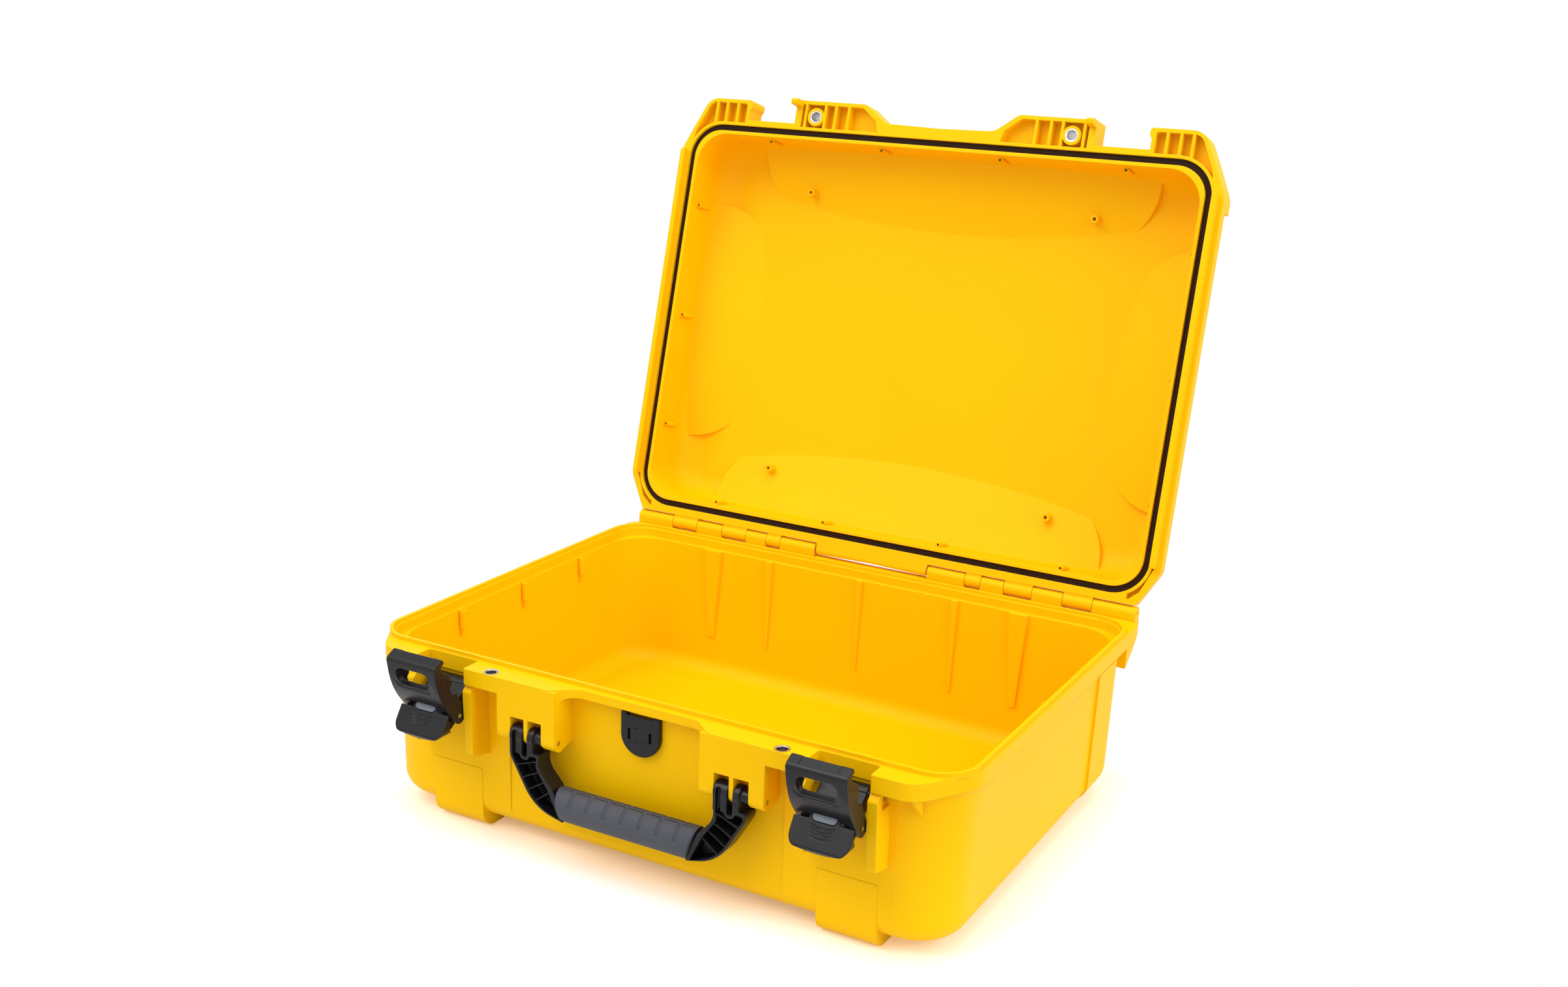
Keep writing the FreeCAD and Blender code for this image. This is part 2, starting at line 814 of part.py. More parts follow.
def lid_shell():
    """The moulded lid with everything that is one piece with it, drawn closed."""
    outer = tub(wall, lid_face + 4.0, lid_top, lid_corner)
    outer = round_level(outer, lid_top, lid_round + 2.0).cut(scoops(True))
    plan = symmetric(lid_flange_outline())
    flange = prism_z(plan, lid_face, lid_face + lid_flange)
    blocks = prism_z(plan, lid_face, lid_face + block_height)
    forward = box(-half_x - 60.0, half_x + 60.0, -half_y - 80.0, -(half_y - 30.0), lid_face - 5.0, lid_top)
    blocks = blocks.common(forward)
    gap = latch_half + 5.0
    edge = -(half_y + ledge_reach)
    ledge = box(latch_x - gap, latch_x + gap, edge, -half_y, lid_face, lid_face + ledge_thick)
    edge = -(half_y + groove_outer + roof_wall)
    roof = box(latch_x - gap, latch_x + gap, edge, -half_y, lid_face, groove_top + roof_thick)
    x0 = half_x + skirt_start
    skirt = box(
        x0,
        x0 + skirt_width,
        -(half_y - 17.0),
        half_y - 17.0,
        lid_face - skirt_depth,
        lid_face + 2.0,
    )
    shapes = [outer, flange, blocks] + both(ledge) + both(roof) + both(skirt)
    shapes += both(lid_knuckles()) + both(lid_finger())
    shell = joined(shapes)
    cavity = tub(0.0, lid_face - 0.01, lid_floor, lid_corner)
    cavity = round_level(cavity, lid_floor, lid_round).cut(scoops(False))
    tools = [cavity, ring(groove_inner, groove_outer, lid_face - 1.0, groove_top)]
    for pocket in block_pockets():
        tools += both(pocket)
    hinge = rod(hinge_pin_radius + pin_run, hinge_start - 20.0, hinge_end + 5.0, hinge_y, hinge_z)
    eye = post(eyelet_outer + eyelet_fit, eyelet_x, eyelet_y, lid_face - 1.0, lid_face + block_height + 1.0)
    tools += both(hinge) + both(eye) + [swing_relief()]
    shell = cut_all(shell, tools)
    bosses, bores = lid_bosses()
    bosses = [boss.cut(scoops(True)) for boss in bosses]
    return cut_all(joined([shell] + bosses), bores)


def lid_gasket():
    """Ribbed seal in the lid's groove, drawn closed."""
    low = rim_z + gasket_lift
    inside = groove_inner + gasket_clear
    body = ring(inside, inside + gasket_width, low + gasket_rib, groove_top)
    step = gasket_width / 5
    ribs = []
    for k in (0, 2, 4):
        edge = inside + k * step
        ribs.append(ring(edge, edge + step, low, low + gasket_rib + 0.1))
    return joined([body] + ribs)


def eyelet(z0, z1):
    """Steel sleeve that takes a padlock's shackle, on the right."""
    sleeve = post(eyelet_outer, eyelet_x, eyelet_y, z0, z1)
    sleeve = sleeve.cut(post(eyelet_bore, eyelet_x, eyelet_y, z0 - 1.0, z1 + 1.0))
    rims = [e for e in sleeve.Edges if e.isClosed() and abs(e.Curve.Radius - eyelet_bore) < 1e-6]
    return sleeve.makeFillet(0.6, rims)


def hinge_pin():
    """Right hinge pin, from the inner stop to the outer knuckle's end."""
    return rod(hinge_pin_radius, hinge_start + 1.0, hinge_end - hinge_end_gap, hinge_y, hinge_z)


def claw_profile():
    """Side view of the claw when upright, as (y, z) corners about its pin."""
    front = -claw_front
    top = claw_height
    lip = claw_height - claw_lip
    corners = [
        (-claw_hub, 0.0),
        (front, 28.0, claw_bow),
        (front + 6.3, top, 4.0),
        (5.1, top, 1.5),
        (5.3, lip, 0.8),
        (1.1, lip, 0.5),
        (1.1, lip - 5.3, 3.0),
        (5.0, 37.0, 4.0),
        (5.0, 28.0, 1.5),
        (1.2, 26.2, 1.2),
        (1.2, 20.2, 1.2),
        (5.0, 18.0, 1.5),
        (5.6, 8.0, 4.0),
        (claw_hub, 0.0),
    ]
    return [(claw_pin_y + c[0], claw_pin_z + c[1]) + tuple(c[2:]) for c in corners]


def latch_claw():
    """Right claw: a windowed plate with two curved side plates, leaning out."""
    x0 = latch_x - latch_half
    x1 = latch_x + latch_half
    u = claw_pin_y
    w = claw_pin_z
    lip = w + claw_height - claw_lip
    solid = joined([prism_x(claw_profile(), x0, x1), rod(claw_hub, x0, x1, u, w)])
    inner0 = x0 + claw_side
    inner1 = x1 - claw_side
    back = u - claw_front + claw_plate
    hollow = prism_x(
        [
            (back, w - 20.0),
            (back, lip - 3.3, 4.0),
            (u + 1.1, lip, 2.0),
            (u + 20.0, lip),
            (u + 20.0, w - 20.0),
        ],
        inner0,
        inner1,
    )
    skirt = box(inner0, inner1, u - 20.0, u + 20.0, w - 20.0, w + 10.0)
    thumb = prism_y(
        [
            (latch_x - 13.0, w),
            (latch_x + 13.0, w),
            (latch_x + 12.0, w + 15.2, 4.0),
            (latch_x - 12.0, w + 15.2, 4.0),
        ],
        u - 20.0,
        u + 20.0,
    )
    window = prism_y(
        [
            (latch_x - 14.2, w + 31.0, 5.0),
            (latch_x + 14.2, w + 31.0, 5.0),
            (latch_x + 14.2, w + 45.4, 5.0),
            (latch_x - 14.2, w + 45.4, 5.0),
        ],
        u - 20.0,
        u,
    )
    sunk = prism_y(
        [
            (latch_x - 17.0, w + 28.4, 7.0),
            (latch_x + 17.0, w + 28.4, 7.0),
            (latch_x + 17.0, w + 46.6, 7.0),
            (latch_x - 17.0, w + 46.6, 7.0),
        ],
        u - 20.0,
        u - claw_sunk,
    )
    strip = box(latch_x - 13.5, latch_x + 13.5, u - 2.6, u + 12.0, w + 50.3, w + 60.0)
    bore = rod(claw_pin_radius + pin_run, x0 - 1.0, x1 + 1.0, u, w)
    claw = solid.cut([hollow, skirt, thumb, window, sunk, strip, bore])
    return tilted(claw, u, w, claw_lean_deg)


def lever_tongue():
    """Full-width thumb tongue of the right lever, with the lock button's boss."""
    u = claw_pin_y
    w = claw_pin_z
    points = [
        (u - 7.0, w + 6.6, 1.0),
        (u - 12.4, w + 4.0, 1.0),
        (u - 22.6, w - 11.76, 1.2),
        (u - 19.8, w - 15.4, 1.6),
        (u - 3.0, w - 9.6, 3.0),
        (u + 5.0, w - 4.0, 2.0),
        (u + 4.0, w + 4.0, 2.0),
    ]
    tongue = prism_x(points, latch_x - latch_half, latch_x + latch_half)
    tip = prism_y(
        [
            (latch_x - latch_half, w + 20.0),
            (latch_x - latch_half, w - 11.2, 8.0),
            (latch_x, w - 16.2, 50.0),
            (latch_x + latch_half, w - 11.2, 8.0),
            (latch_x + latch_half, w + 20.0),
        ],
        u - 30.0,
        u + 30.0,
    )
    tongue = tongue.common(tip)
    reliefs = []
    for edge in (-1, 1):
        x0 = latch_x + edge * (latch_half - claw_side - claw_side_gap)
        x1 = latch_x + edge * (latch_half + 1.0)
        reliefs.append(rod(claw_relief, min(x0, x1), max(x0, x1), u, w))
    boss = prism_x(
        [
            (u - 12.4, w + 4.0),
            (u - 8.5, w + 10.0, 0.8),
            (u - 7.0, w + 9.8, 1.0),
            (u - 2.5, w + 4.5),
            (u - 2.5, w - 1.0),
            (u - 10.0, w - 1.0),
        ],
        latch_x - button_half - 2.0,
        latch_x + button_half + 2.0,
    )
    return joined([tongue.cut(reliefs), boss])


def grip_lines():
    """Shallow curved finger lines on the lever's tongue, below the button."""
    way = button_direction()
    down = X.cross(way).normalize()
    if down.z > 0:
        down = down * -1.0
    centre = button_seat() - down * line_bow
    lines = []
    for k in range(4):
        radius = line_bow + 7.4 + 2.1 * k
        start = centre - way * 2.0
        band = Part.makeCylinder(radius + 0.45, 2.0 + line_depth, start, way)
        band = band.cut(Part.makeCylinder(radius - 0.45, 4.0 + line_depth, start - way, way))
        half = 8.4 - 0.5 * k
        middle = centre + down * radius - way * 3.0
        corners = [middle + X * a + down * b for a, b in ((-half, -6), (half, -6), (half, 2), (-half, 2))]
        face = Part.Face(Part.makePolygon(corners + corners[:1]))
        lines.append(band.common(face.extrude(way * 6.0)))
    return lines


def button_direction():
    """Way that the lock button moves when it is pressed, square to the tongue's face."""
    return Vector(0, 13.6, -8.8).normalize()


def button_seat():
    """Middle of the lock button's outer face, in line with the tongue's face."""
    return Vector(latch_x, claw_pin_y - 10.9, claw_pin_z + 6.3)


def button_slug(grow, start, length):
    """Oval slug along the button's travel, from a depth below its outer face."""
    way = button_direction()
    across = way.cross(X)
    origin = button_seat() + way * start
    half = button_half + grow
    tall = button_height / 2 + grow

    def place(u, v):
        return origin + X * u + across * v

    bend = tall * 0.96
    corners = [(half, -tall, bend), (half, tall, bend), (-half, tall, bend), (-half, -tall, bend)]
    return Part.Face(outline(corners, place)).extrude(way * length)


def latch_lever():
    """Right lever: hub on the pivot pin, two arms, and the tongue."""
    a = Vector(0, latch_pivot_y, latch_pivot_z)
    b = Vector(0, claw_pin_y, claw_pin_z)
    half = latch_half - claw_side - claw_side_gap
    x0 = latch_x - half
    x1 = latch_x + half
    shapes = [rod(lever_hub, x0, x1, a.y, a.z), rod(claw_hub - 0.4, x0, x1, b.y, b.z)]
    run = (b - a).normalize()
    across = Vector(0, -run.z, run.y)
    corners = [a + across * 4.8, b + across * 5.6, b - across * 5.6, a - across * 4.8]
    arm = [(c.y, c.z) for c in corners]
    shapes.append(prism_x(arm, x0, x0 + 6.0))
    shapes.append(prism_x(arm, x1 - 6.0, x1))
    web = [(c.y, c.z) for c in (a, b, corners[2], corners[3])]
    shapes.append(prism_x(web, x0, x1))
    shapes.append(lever_tongue())
    lever = joined(shapes)
    way = button_direction()
    pocket = button_slug(button_clear, -6.0, 6.0 + button_sunk + button_travel + 0.2)
    hole = Part.makeCylinder(spring_radius + 0.2, spring_seat - 0.5, button_seat() + way * 0.5, way)
    tools = [
        pocket,
        hole,
        rod(latch_pin_radius + pin_run, latch_x - 60.0, latch_x + 60.0, a.y, a.z),
        rod(claw_pin_radius + pin_tight, latch_x - 60.0, latch_x + 60.0, b.y, b.z),
    ]
    return lever.cut(tools + grip_lines())


def latch_button():
    """Right lock button, an oval slug that stands a little proud."""
    slug = button_slug(0.0, -button_proud, button_proud + button_sunk)
    way = button_direction()
    face = button_seat() - way * button_proud
    rim = [e for e in slug.Edges if abs((e.CenterOfMass - face).dot(way)) < 1e-4]
    return slug.makeFillet(0.7, rim)


def button_spring():
    """Right lock button's return spring, drawn at its pressed length."""
    way = button_direction()
    start = button_seat() + way * (button_sunk + button_travel + 0.05)
    length = spring_seat - button_sunk - button_travel - 0.05
    tube = Part.makeCylinder(spring_radius, length, start, way)
    return tube.cut(Part.makeCylinder(spring_radius - spring_wire, length + 2.0, start - way, way))


def latch_pivot_pin():
    """Right latch's pivot pin, held in the two columns."""
    span = column_in + column_thick
    return rod(latch_pin_radius, latch_x - span + 1.5, latch_x + span - 1.5, latch_pivot_y, latch_pivot_z)


def claw_pin():
    """Right claw's pin, held in the lever."""
    half = latch_half - 0.2
    return rod(claw_pin_radius, latch_x - half, latch_x + half, claw_pin_y, claw_pin_z)


def handle_lug(x0, x1):
    """Round eye of the handle on its pin, with its neck."""
    eye = rod(lug_radius, x0, x1, handle_pin_y, handle_pin_z)
    y0 = handle_pin_y - arm_thick / 2
    neck = box(x0, x1, y0, y0 + arm_thick, handle_pin_z - 12.0, handle_pin_z)
    return joined([eye, neck])


def arm_points(inset):
    """Front view of the right arm below its eyes, drawn in by an inset."""
    z = handle_pin_z
    low = z - grip_drop - grip_half_height
    outer = handle_x + middle_ear / 2 + lug_gap + lug_width - inset
    inner = handle_x - middle_ear / 2 - lug_gap - lug_width + inset
    return [
        (inner, z - arm_top - inset, inset * 0.7),
        (outer, z - arm_top - inset, 2.0),
        (outer - 0.4, z - 15.0, 12.0 - 3.6 * inset),
        (handle_x - 8.0 - inset * 0.5, low + 6.8 + inset * 0.9, 34.0),
        (handle_x - grip_inset_low - 4.0 + inset * 3.4, low + inset),
        (handle_x - grip_inset_top + 3.0 + inset * 1.4, z - grip_drop + grip_half_height - inset),
        (inner + 1.6, z - 19.0, 15.0 - 2.5 * inset),
    ]


def saddle(grow):
    """Round-bottomed slot between the handle's two eyes, grown by a wall."""
    half = middle_ear / 2 + lug_gap + grow
    low = handle_pin_z - saddle_drop - grow
    top = handle_pin_z - (arm_top if grow else 0.0)
    points = [
        (handle_x - half, top),
        (handle_x - half, low, half * 0.96),
        (handle_x + half, low, half * 0.96),
        (handle_x + half, top),
    ]
    return prism_y(points, handle_pin_y - arm_thick / 2 - 1.0, handle_pin_y + arm_thick / 2 + 1.0)


def lug_slot(x0):
    """Long pocket in the front of one eye, above the arm's channel."""
    y0 = handle_pin_y - arm_thick / 2
    left = x0 + arm_skin
    right = left + lug_slot_width
    top = handle_pin_z + 4.5
    low = handle_pin_z - 14.0
    bend = lug_slot_width * 0.48
    points = [(left, low), (right, low), (right, top, bend), (left, top, bend)]
    return prism_y(points, y0 - 2.0, y0 + lug_slot_depth)


def handle_arm(slot_inside):
    """Right arm of the handle: a ribbed channel open to the front, under two eyes.

    One eye has a long pocket in its front. The other is a plate with a boss on its far side.
    """
    y0 = handle_pin_y - arm_thick / 2
    y1 = handle_pin_y + arm_thick / 2
    arm = prism_y(arm_points(0.0), y0, y1)
    pocket = prism_y(arm_points(arm_skin), y0 - 1.0, y1 - arm_floor)
    ribs = []
    for k in range(4):
        z = handle_pin_z - 18.5 - 7.6 * k
        rib = box(handle_x - 60.0, handle_x + 60.0, y0 + 1.2, y1, z, z + 1.0)
        rib.rotate(Vector(handle_x - 2.0 - 4.0 * k, y0, z), Y, 20.0 + 6.0 * k)
        ribs.append(rib)
    arm = arm.cut(pocket.cut(ribs + [saddle(arm_skin)]))
    near = handle_x - middle_ear / 2 - lug_gap
    far = handle_x + middle_ear / 2 + lug_gap
    outside = far + lug_width - 2 * arm_skin - lug_slot_width
    if slot_inside:
        slot = lug_slot(near - lug_width)
        eye = handle_lug(near - lug_width, near)
        plate = handle_lug(far, far + lug_plate)
        boss = rod(lug_boss, far, far + lug_width, handle_pin_y, handle_pin_z)
    else:
        slot = lug_slot(outside)
        eye = handle_lug(far, far + lug_width)
        plate = handle_lug(near - lug_plate, near)
        boss = rod(lug_boss, near - lug_width, near, handle_pin_y, handle_pin_z)
    return joined([arm, eye, plate, boss]).cut([slot, saddle(0.0)])


def grip_end(inset):
    """Slanted end of the grip, as a wedge that keeps what lies inside it."""
    z = handle_pin_z - grip_drop
    top = handle_x - grip_inset_top + inset
    low = handle_x - grip_inset_low + inset
    points = [
        (-top, z + grip_half_height),
        (top, z + grip_half_height),
        (low, z - grip_half_height),
        (-low, z - grip_half_height),
    ]
    return prism_y(points, handle_pin_y - 40.0, handle_pin_y + 40.0)


def handle_frame():
    """The handle's stiff frame: two arms and the core inside the grip."""
    z = handle_pin_z - grip_drop
    reach = handle_x - (grip_inset_top + grip_inset_low) / 2 + arm_skin
    core = rod(grip_core, -reach, reach, handle_pin_y, z)
    keep = grip_end(grip_fit).common(oval_bar(3.0))
    arms = [arm.cut(keep) for arm in (handle_arm(True), mirrored(handle_arm(False)))]
    frame = joined(arms + [core])
    pin = rod(handle_pin_radius + pin_run, handle_x - 60.0, handle_x + 60.0, handle_pin_y, handle_pin_z)
    return frame.cut(both(pin))


def oval_bar(grow):
    """Long oval bar along X at the grip's place."""
    z = handle_pin_z - grip_drop
    ry = grip_half_depth + grow
    rz = grip_half_height + grow
    centre = Vector(-200, handle_pin_y, z)
    ellipse = Part.Ellipse(centre + Z * rz, centre + Y * ry, centre)
    return Part.Face(Part.Wire([ellipse.toShape()])).extrude(X * 400.0)


def handle_grip():
    """Soft grip over the handle's core."""
    z = handle_pin_z - grip_drop
    bar = oval_bar(0.0).common(grip_end(0.0))
    return bar.cut(rod(grip_core + grip_fit, -200.0, 200.0, handle_pin_y, z))


def handle_pin():
    """Right handle pin through the bracket's ears."""
    inner = bracket_inner()
    outer = handle_x + middle_ear / 2 + lug_width + 2 * lug_gap + ear_width
    return rod(handle_pin_radius, inner + 1.0, outer - 1.0, handle_pin_y, handle_pin_z)


def vent_cover():
    """Shield-shaped vent cover with its hollow stem through the wall."""
    z = rim_z - vent_centre_low
    y = -recess_wall
    face = y - vent_thick
    shield = vent_shield(face, y)
    front = [e for e in shield.Edges if all(abs(v.Y - face) < 1e-4 for v in e.Vertexes)]
    shield = shield.makeFillet(vent_edge, front)
    stem = Part.makeCylinder(vent_stem, wall + vent_nut_thick + 3.0, Vector(0, y - 0.5, z), Y)
    bore = Part.makeCylinder(vent_bore, 40.0, Vector(0, y - 1.0, z), Y)
    top = rim_z - vent_top
    notch = box(vent_horn - vent_half, vent_half - vent_horn, face - 1.0, y + 0.1, top - vent_notch, rim_z)
    arcs = Part.makeCylinder(vent_arc + vent_arc_width / 2, 1.0, Vector(0, face - 0.4, z), Y)
    core = Part.makeCylinder(vent_arc - vent_arc_width / 2, 1.0, Vector(0, face - 0.4, z), Y)
    band = vent_arc * 0.7
    arcs = arcs.cut([core, box(-vent_half, vent_half, face - 2.0, y, z - band, z + band)])
    slots = []
    for x in (-vent_slot_x, vent_slot_x):
        half = vent_slot_width / 2
        tall = vent_slot_height / 2
        slots.append(box(x - half, x + half, face - 1.0, face + vent_slot_depth, z - tall, z + tall))
    seat = Part.makeCylinder(membrane_radius + 0.3, membrane_thick + 0.1, Vector(0, y - 1.0, z), Y)
    return joined([shield, stem]).cut([bore, notch, arcs, seat] + slots)


def vent_membrane():
    """Breathing disc behind the vent cover's face."""
    z = rim_z - vent_centre_low
    return Part.makeCylinder(membrane_radius, membrane_thick, Vector(0, -recess_wall - 1.0, z), Y)


def vent_seal():
    """Flat sealing ring between the wall and the vent nut."""
    z = rim_z - vent_centre_low
    y = -(half_y - draft * vent_centre_low) + 0.45
    seal = Part.makeCylinder(vent_seal_radius, vent_seal_height, Vector(0, y, z), Y)
    return seal.cut(Part.makeCylinder(vent_stem + vent_fit, 10.0, Vector(0, y - 2.0, z), Y))


def vent_nut():
    """Six-sided nut that clamps the vent from inside."""
    z = rim_z - vent_centre_low
    y = -(half_y - draft * vent_centre_low) + 0.45 + vent_seal_height
    corners = []
    for k in range(6):
        turn = math.radians(60.0 * k)
        corners.append((vent_nut_radius * math.cos(turn), z + vent_nut_radius * math.sin(turn)))
    nut = prism_y(corners, y, y + vent_nut_thick)
    return nut.cut(Part.makeCylinder(vent_stem + vent_fit, 20.0, Vector(0, y - 5.0, z), Y))


def sided(name, shape, nodes):
    """Store a right-hand piece and its mirror under side names."""
    nodes[name + "_right"] = shape
    nodes[name + "_left"] = mirrored(shape)


def build():
    """Every node of the case by name, at the open rest pose."""
    nodes = {
        "base_shell": base_shell(),
        "lid_shell": opened(lid_shell()),
        "lid_gasket": opened(lid_gasket()),
        "handle_frame": handle_frame(),
        "handle_grip": handle_grip(),
        "vent_cover": vent_cover(),
        "vent_membrane": vent_membrane(),
        "vent_seal": vent_seal(),
        "vent_nut": vent_nut(),
    }
    sided("hinge_pin", hinge_pin(), nodes)
    sided("handle_pin", handle_pin(), nodes)
    sided("base_eyelet", eyelet(flange_z - flange_thick, flange_z + 0.3), nodes)
    sided("lid_eyelet", opened(eyelet(lid_face - 0.1, lid_face + block_height)), nodes)
    sided("latch_lever", latch_lever(), nodes)
    sided("latch_claw", latch_claw(), nodes)
    sided("latch_button", latch_button(), nodes)
    sided("button_spring", button_spring(), nodes)
    sided("latch_pivot_pin", latch_pivot_pin(), nodes)
    sided("claw_pin", claw_pin(), nodes)
    return nodes


os.makedirs("parts", exist_ok=True)
for node, shape in build().items():
    print(node, shape.isValid(), len(shape.Solids), round(shape.Volume / 1000.0, 3))
    shape.exportStep(os.path.join("parts", node + ".step"))
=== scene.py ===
"""Looks of the protective hard case, built round its packed construction frame.

Every size is in metres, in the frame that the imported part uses: the origin lies under the
middle of the clear space on the plane of the feet, X runs to the right seen from the front,
the front faces -Y and Z is up.
"""
import json
import logging
import math
from contextlib import contextmanager
from dataclasses import dataclass, field
from enum import Enum
from typing import Callable, Iterator, Sequence

import bpy
from mathutils import Matrix, Vector

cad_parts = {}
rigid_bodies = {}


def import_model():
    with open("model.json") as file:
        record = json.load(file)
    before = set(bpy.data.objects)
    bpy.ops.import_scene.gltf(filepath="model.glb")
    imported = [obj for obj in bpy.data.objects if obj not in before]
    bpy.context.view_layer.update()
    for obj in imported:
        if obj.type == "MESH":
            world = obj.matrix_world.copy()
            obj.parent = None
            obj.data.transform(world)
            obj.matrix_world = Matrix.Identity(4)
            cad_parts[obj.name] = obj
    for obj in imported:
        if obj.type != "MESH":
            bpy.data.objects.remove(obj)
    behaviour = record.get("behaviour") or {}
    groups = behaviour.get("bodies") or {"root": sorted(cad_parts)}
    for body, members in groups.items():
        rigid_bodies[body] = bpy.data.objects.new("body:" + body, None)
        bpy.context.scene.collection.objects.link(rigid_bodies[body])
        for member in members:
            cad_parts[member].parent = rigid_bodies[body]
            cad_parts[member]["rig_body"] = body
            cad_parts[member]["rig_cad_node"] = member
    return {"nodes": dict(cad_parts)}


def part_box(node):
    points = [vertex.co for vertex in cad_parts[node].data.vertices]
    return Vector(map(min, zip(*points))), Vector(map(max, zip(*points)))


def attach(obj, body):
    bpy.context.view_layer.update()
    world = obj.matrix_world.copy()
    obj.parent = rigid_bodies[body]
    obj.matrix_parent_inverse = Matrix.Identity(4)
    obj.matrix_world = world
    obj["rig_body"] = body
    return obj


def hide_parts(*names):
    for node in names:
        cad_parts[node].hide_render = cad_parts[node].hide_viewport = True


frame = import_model()

LOG = logging.getLogger("hard_case")
MM = 0.001
Colour = tuple[float, float, float]


class Slot(str, Enum):
    """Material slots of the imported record."""

    SHELL = "shell_yellow"
    GASKET = "gasket_rubber"
    BLACK = "black_plastic"
    GRIP = "grip_rubber"
    BUTTON = "button_plastic"
    MEMBRANE = "membrane"
    STEEL = "steel"


class Side(Enum):
    """The two mirrored sides of the case."""

    RIGHT = 1
    LEFT = -1

    @property
    def word(self) -> str:
        """Ending of the node names on this side."""
        return self.name.lower()


class Graph:
    """Places and links nodes in one node tree."""

    def __init__(self, tree: bpy.types.NodeTree) -> None:
        """Keep the tree.

        Args:
            tree: the tree that the nodes go into.
        """
        self.tree = tree

    def add(self, kind: str, settings: dict | None = None, **values: object) -> bpy.types.Node:
        """Add a node.

        Args:
            kind: the node's type name.
            settings: properties to set on the node itself.
            values: socket values, with an underscore for each space in a socket's name.

        Returns:
            The new node.
        """
        node = self.tree.nodes.new(kind)
        for name, value in (settings or {}).items():
            setattr(node, name, value)
        for name, value in values.items():
            node.inputs[name.replace("_", " ")].default_value = value
        return node

    def math(self, operation: str, first: object, second: object) -> bpy.types.NodeSocket:
        """Add a math node.

        Args:
            operation: what it does.
            first: a number or a socket.
            second: a number or a socket.

        Returns:
            The result's socket.
        """
        node = self.add("ShaderNodeMath", {"operation": operation})
        for index, value in enumerate((first, second)):
            self.feed(value, node.inputs[index])
        return node.outputs[0]

    def mix(self, share: object, first: object, second: object) -> bpy.types.NodeSocket:
        """Mix two colours.

        Args:
            share: how much of the second, a number or a socket.
            first: a colour or a socket.
            second: a colour or a socket.

        Returns:
            The mixed colour's socket.
        """
        node = self.add("ShaderNodeMix", {"data_type": "RGBA"})
        self.feed(share, node.inputs[0])
        self.feed(first, node.inputs[6])
        self.feed(second, node.inputs[7])
        return node.outputs[2]

    def ramp(
        self, value: object, low: float, high: float, out_low: float = 0.0, out_high: float = 1.0
    ) -> bpy.types.NodeSocket:
        """Map a range of values to another range, held at its ends.

        Args:
            value: the socket to map.
            low: start of the range.
            high: end of the range.
            out_low: result at the start.
            out_high: result at the end.

        Returns:
            The result's socket.
        """
        node = self.add("ShaderNodeMapRange")
        for index, given in enumerate((value, low, high, out_low, out_high)):
            self.feed(given, node.inputs[index])
        return node.outputs[0]

    def feed(self, source: object, target: bpy.types.NodeSocket) -> None:
        """Link a socket, or set a plain value.

        Args:
            source: a socket, a number or a colour.
            target: the socket to feed.
        """
        if isinstance(source, bpy.types.NodeSocket):
            self.tree.links.new(source, target)
        elif isinstance(source, tuple) and len(source) == 3:
            target.default_value = (*source, 1.0)
        else:
            target.default_value = source


GroupParts = tuple[bpy.types.NodeTree, Graph, bpy.types.Node, bpy.types.Node]


def new_group(
    name: str, inputs: Sequence[tuple[str, str, object]], outputs: Sequence[tuple[str, str]]
) -> GroupParts:
    """Make an empty shader node group with named sockets.

    Args:
        name: the group's name.
        inputs: name, socket type and default value of each input.
        outputs: name and socket type of each output.

    Returns:
        The group, its graph, its input node and its output node.
    """
    tree = bpy.data.node_groups.new(name, "ShaderNodeTree")
    for title, kind, value in inputs:
        socket = tree.interface.new_socket(title, in_out="INPUT", socket_type=kind)
        if value is not None:
            socket.default_value = value
    for title, kind in outputs:
        tree.interface.new_socket(title, in_out="OUTPUT", socket_type=kind)
    graph = Graph(tree)
    return tree, graph, graph.add("NodeGroupInput"), graph.add("NodeGroupOutput")


def blank_material(name: str) -> tuple[bpy.types.Material, Graph]:
    """Make a material with no nodes.

    Args:
        name: the material's name.

    Returns:
        The material and its graph.
    """
    material = bpy.data.materials.new(name)
    material.use_nodes = True
    material.node_tree.nodes.clear()
    return material, Graph(material.node_tree)


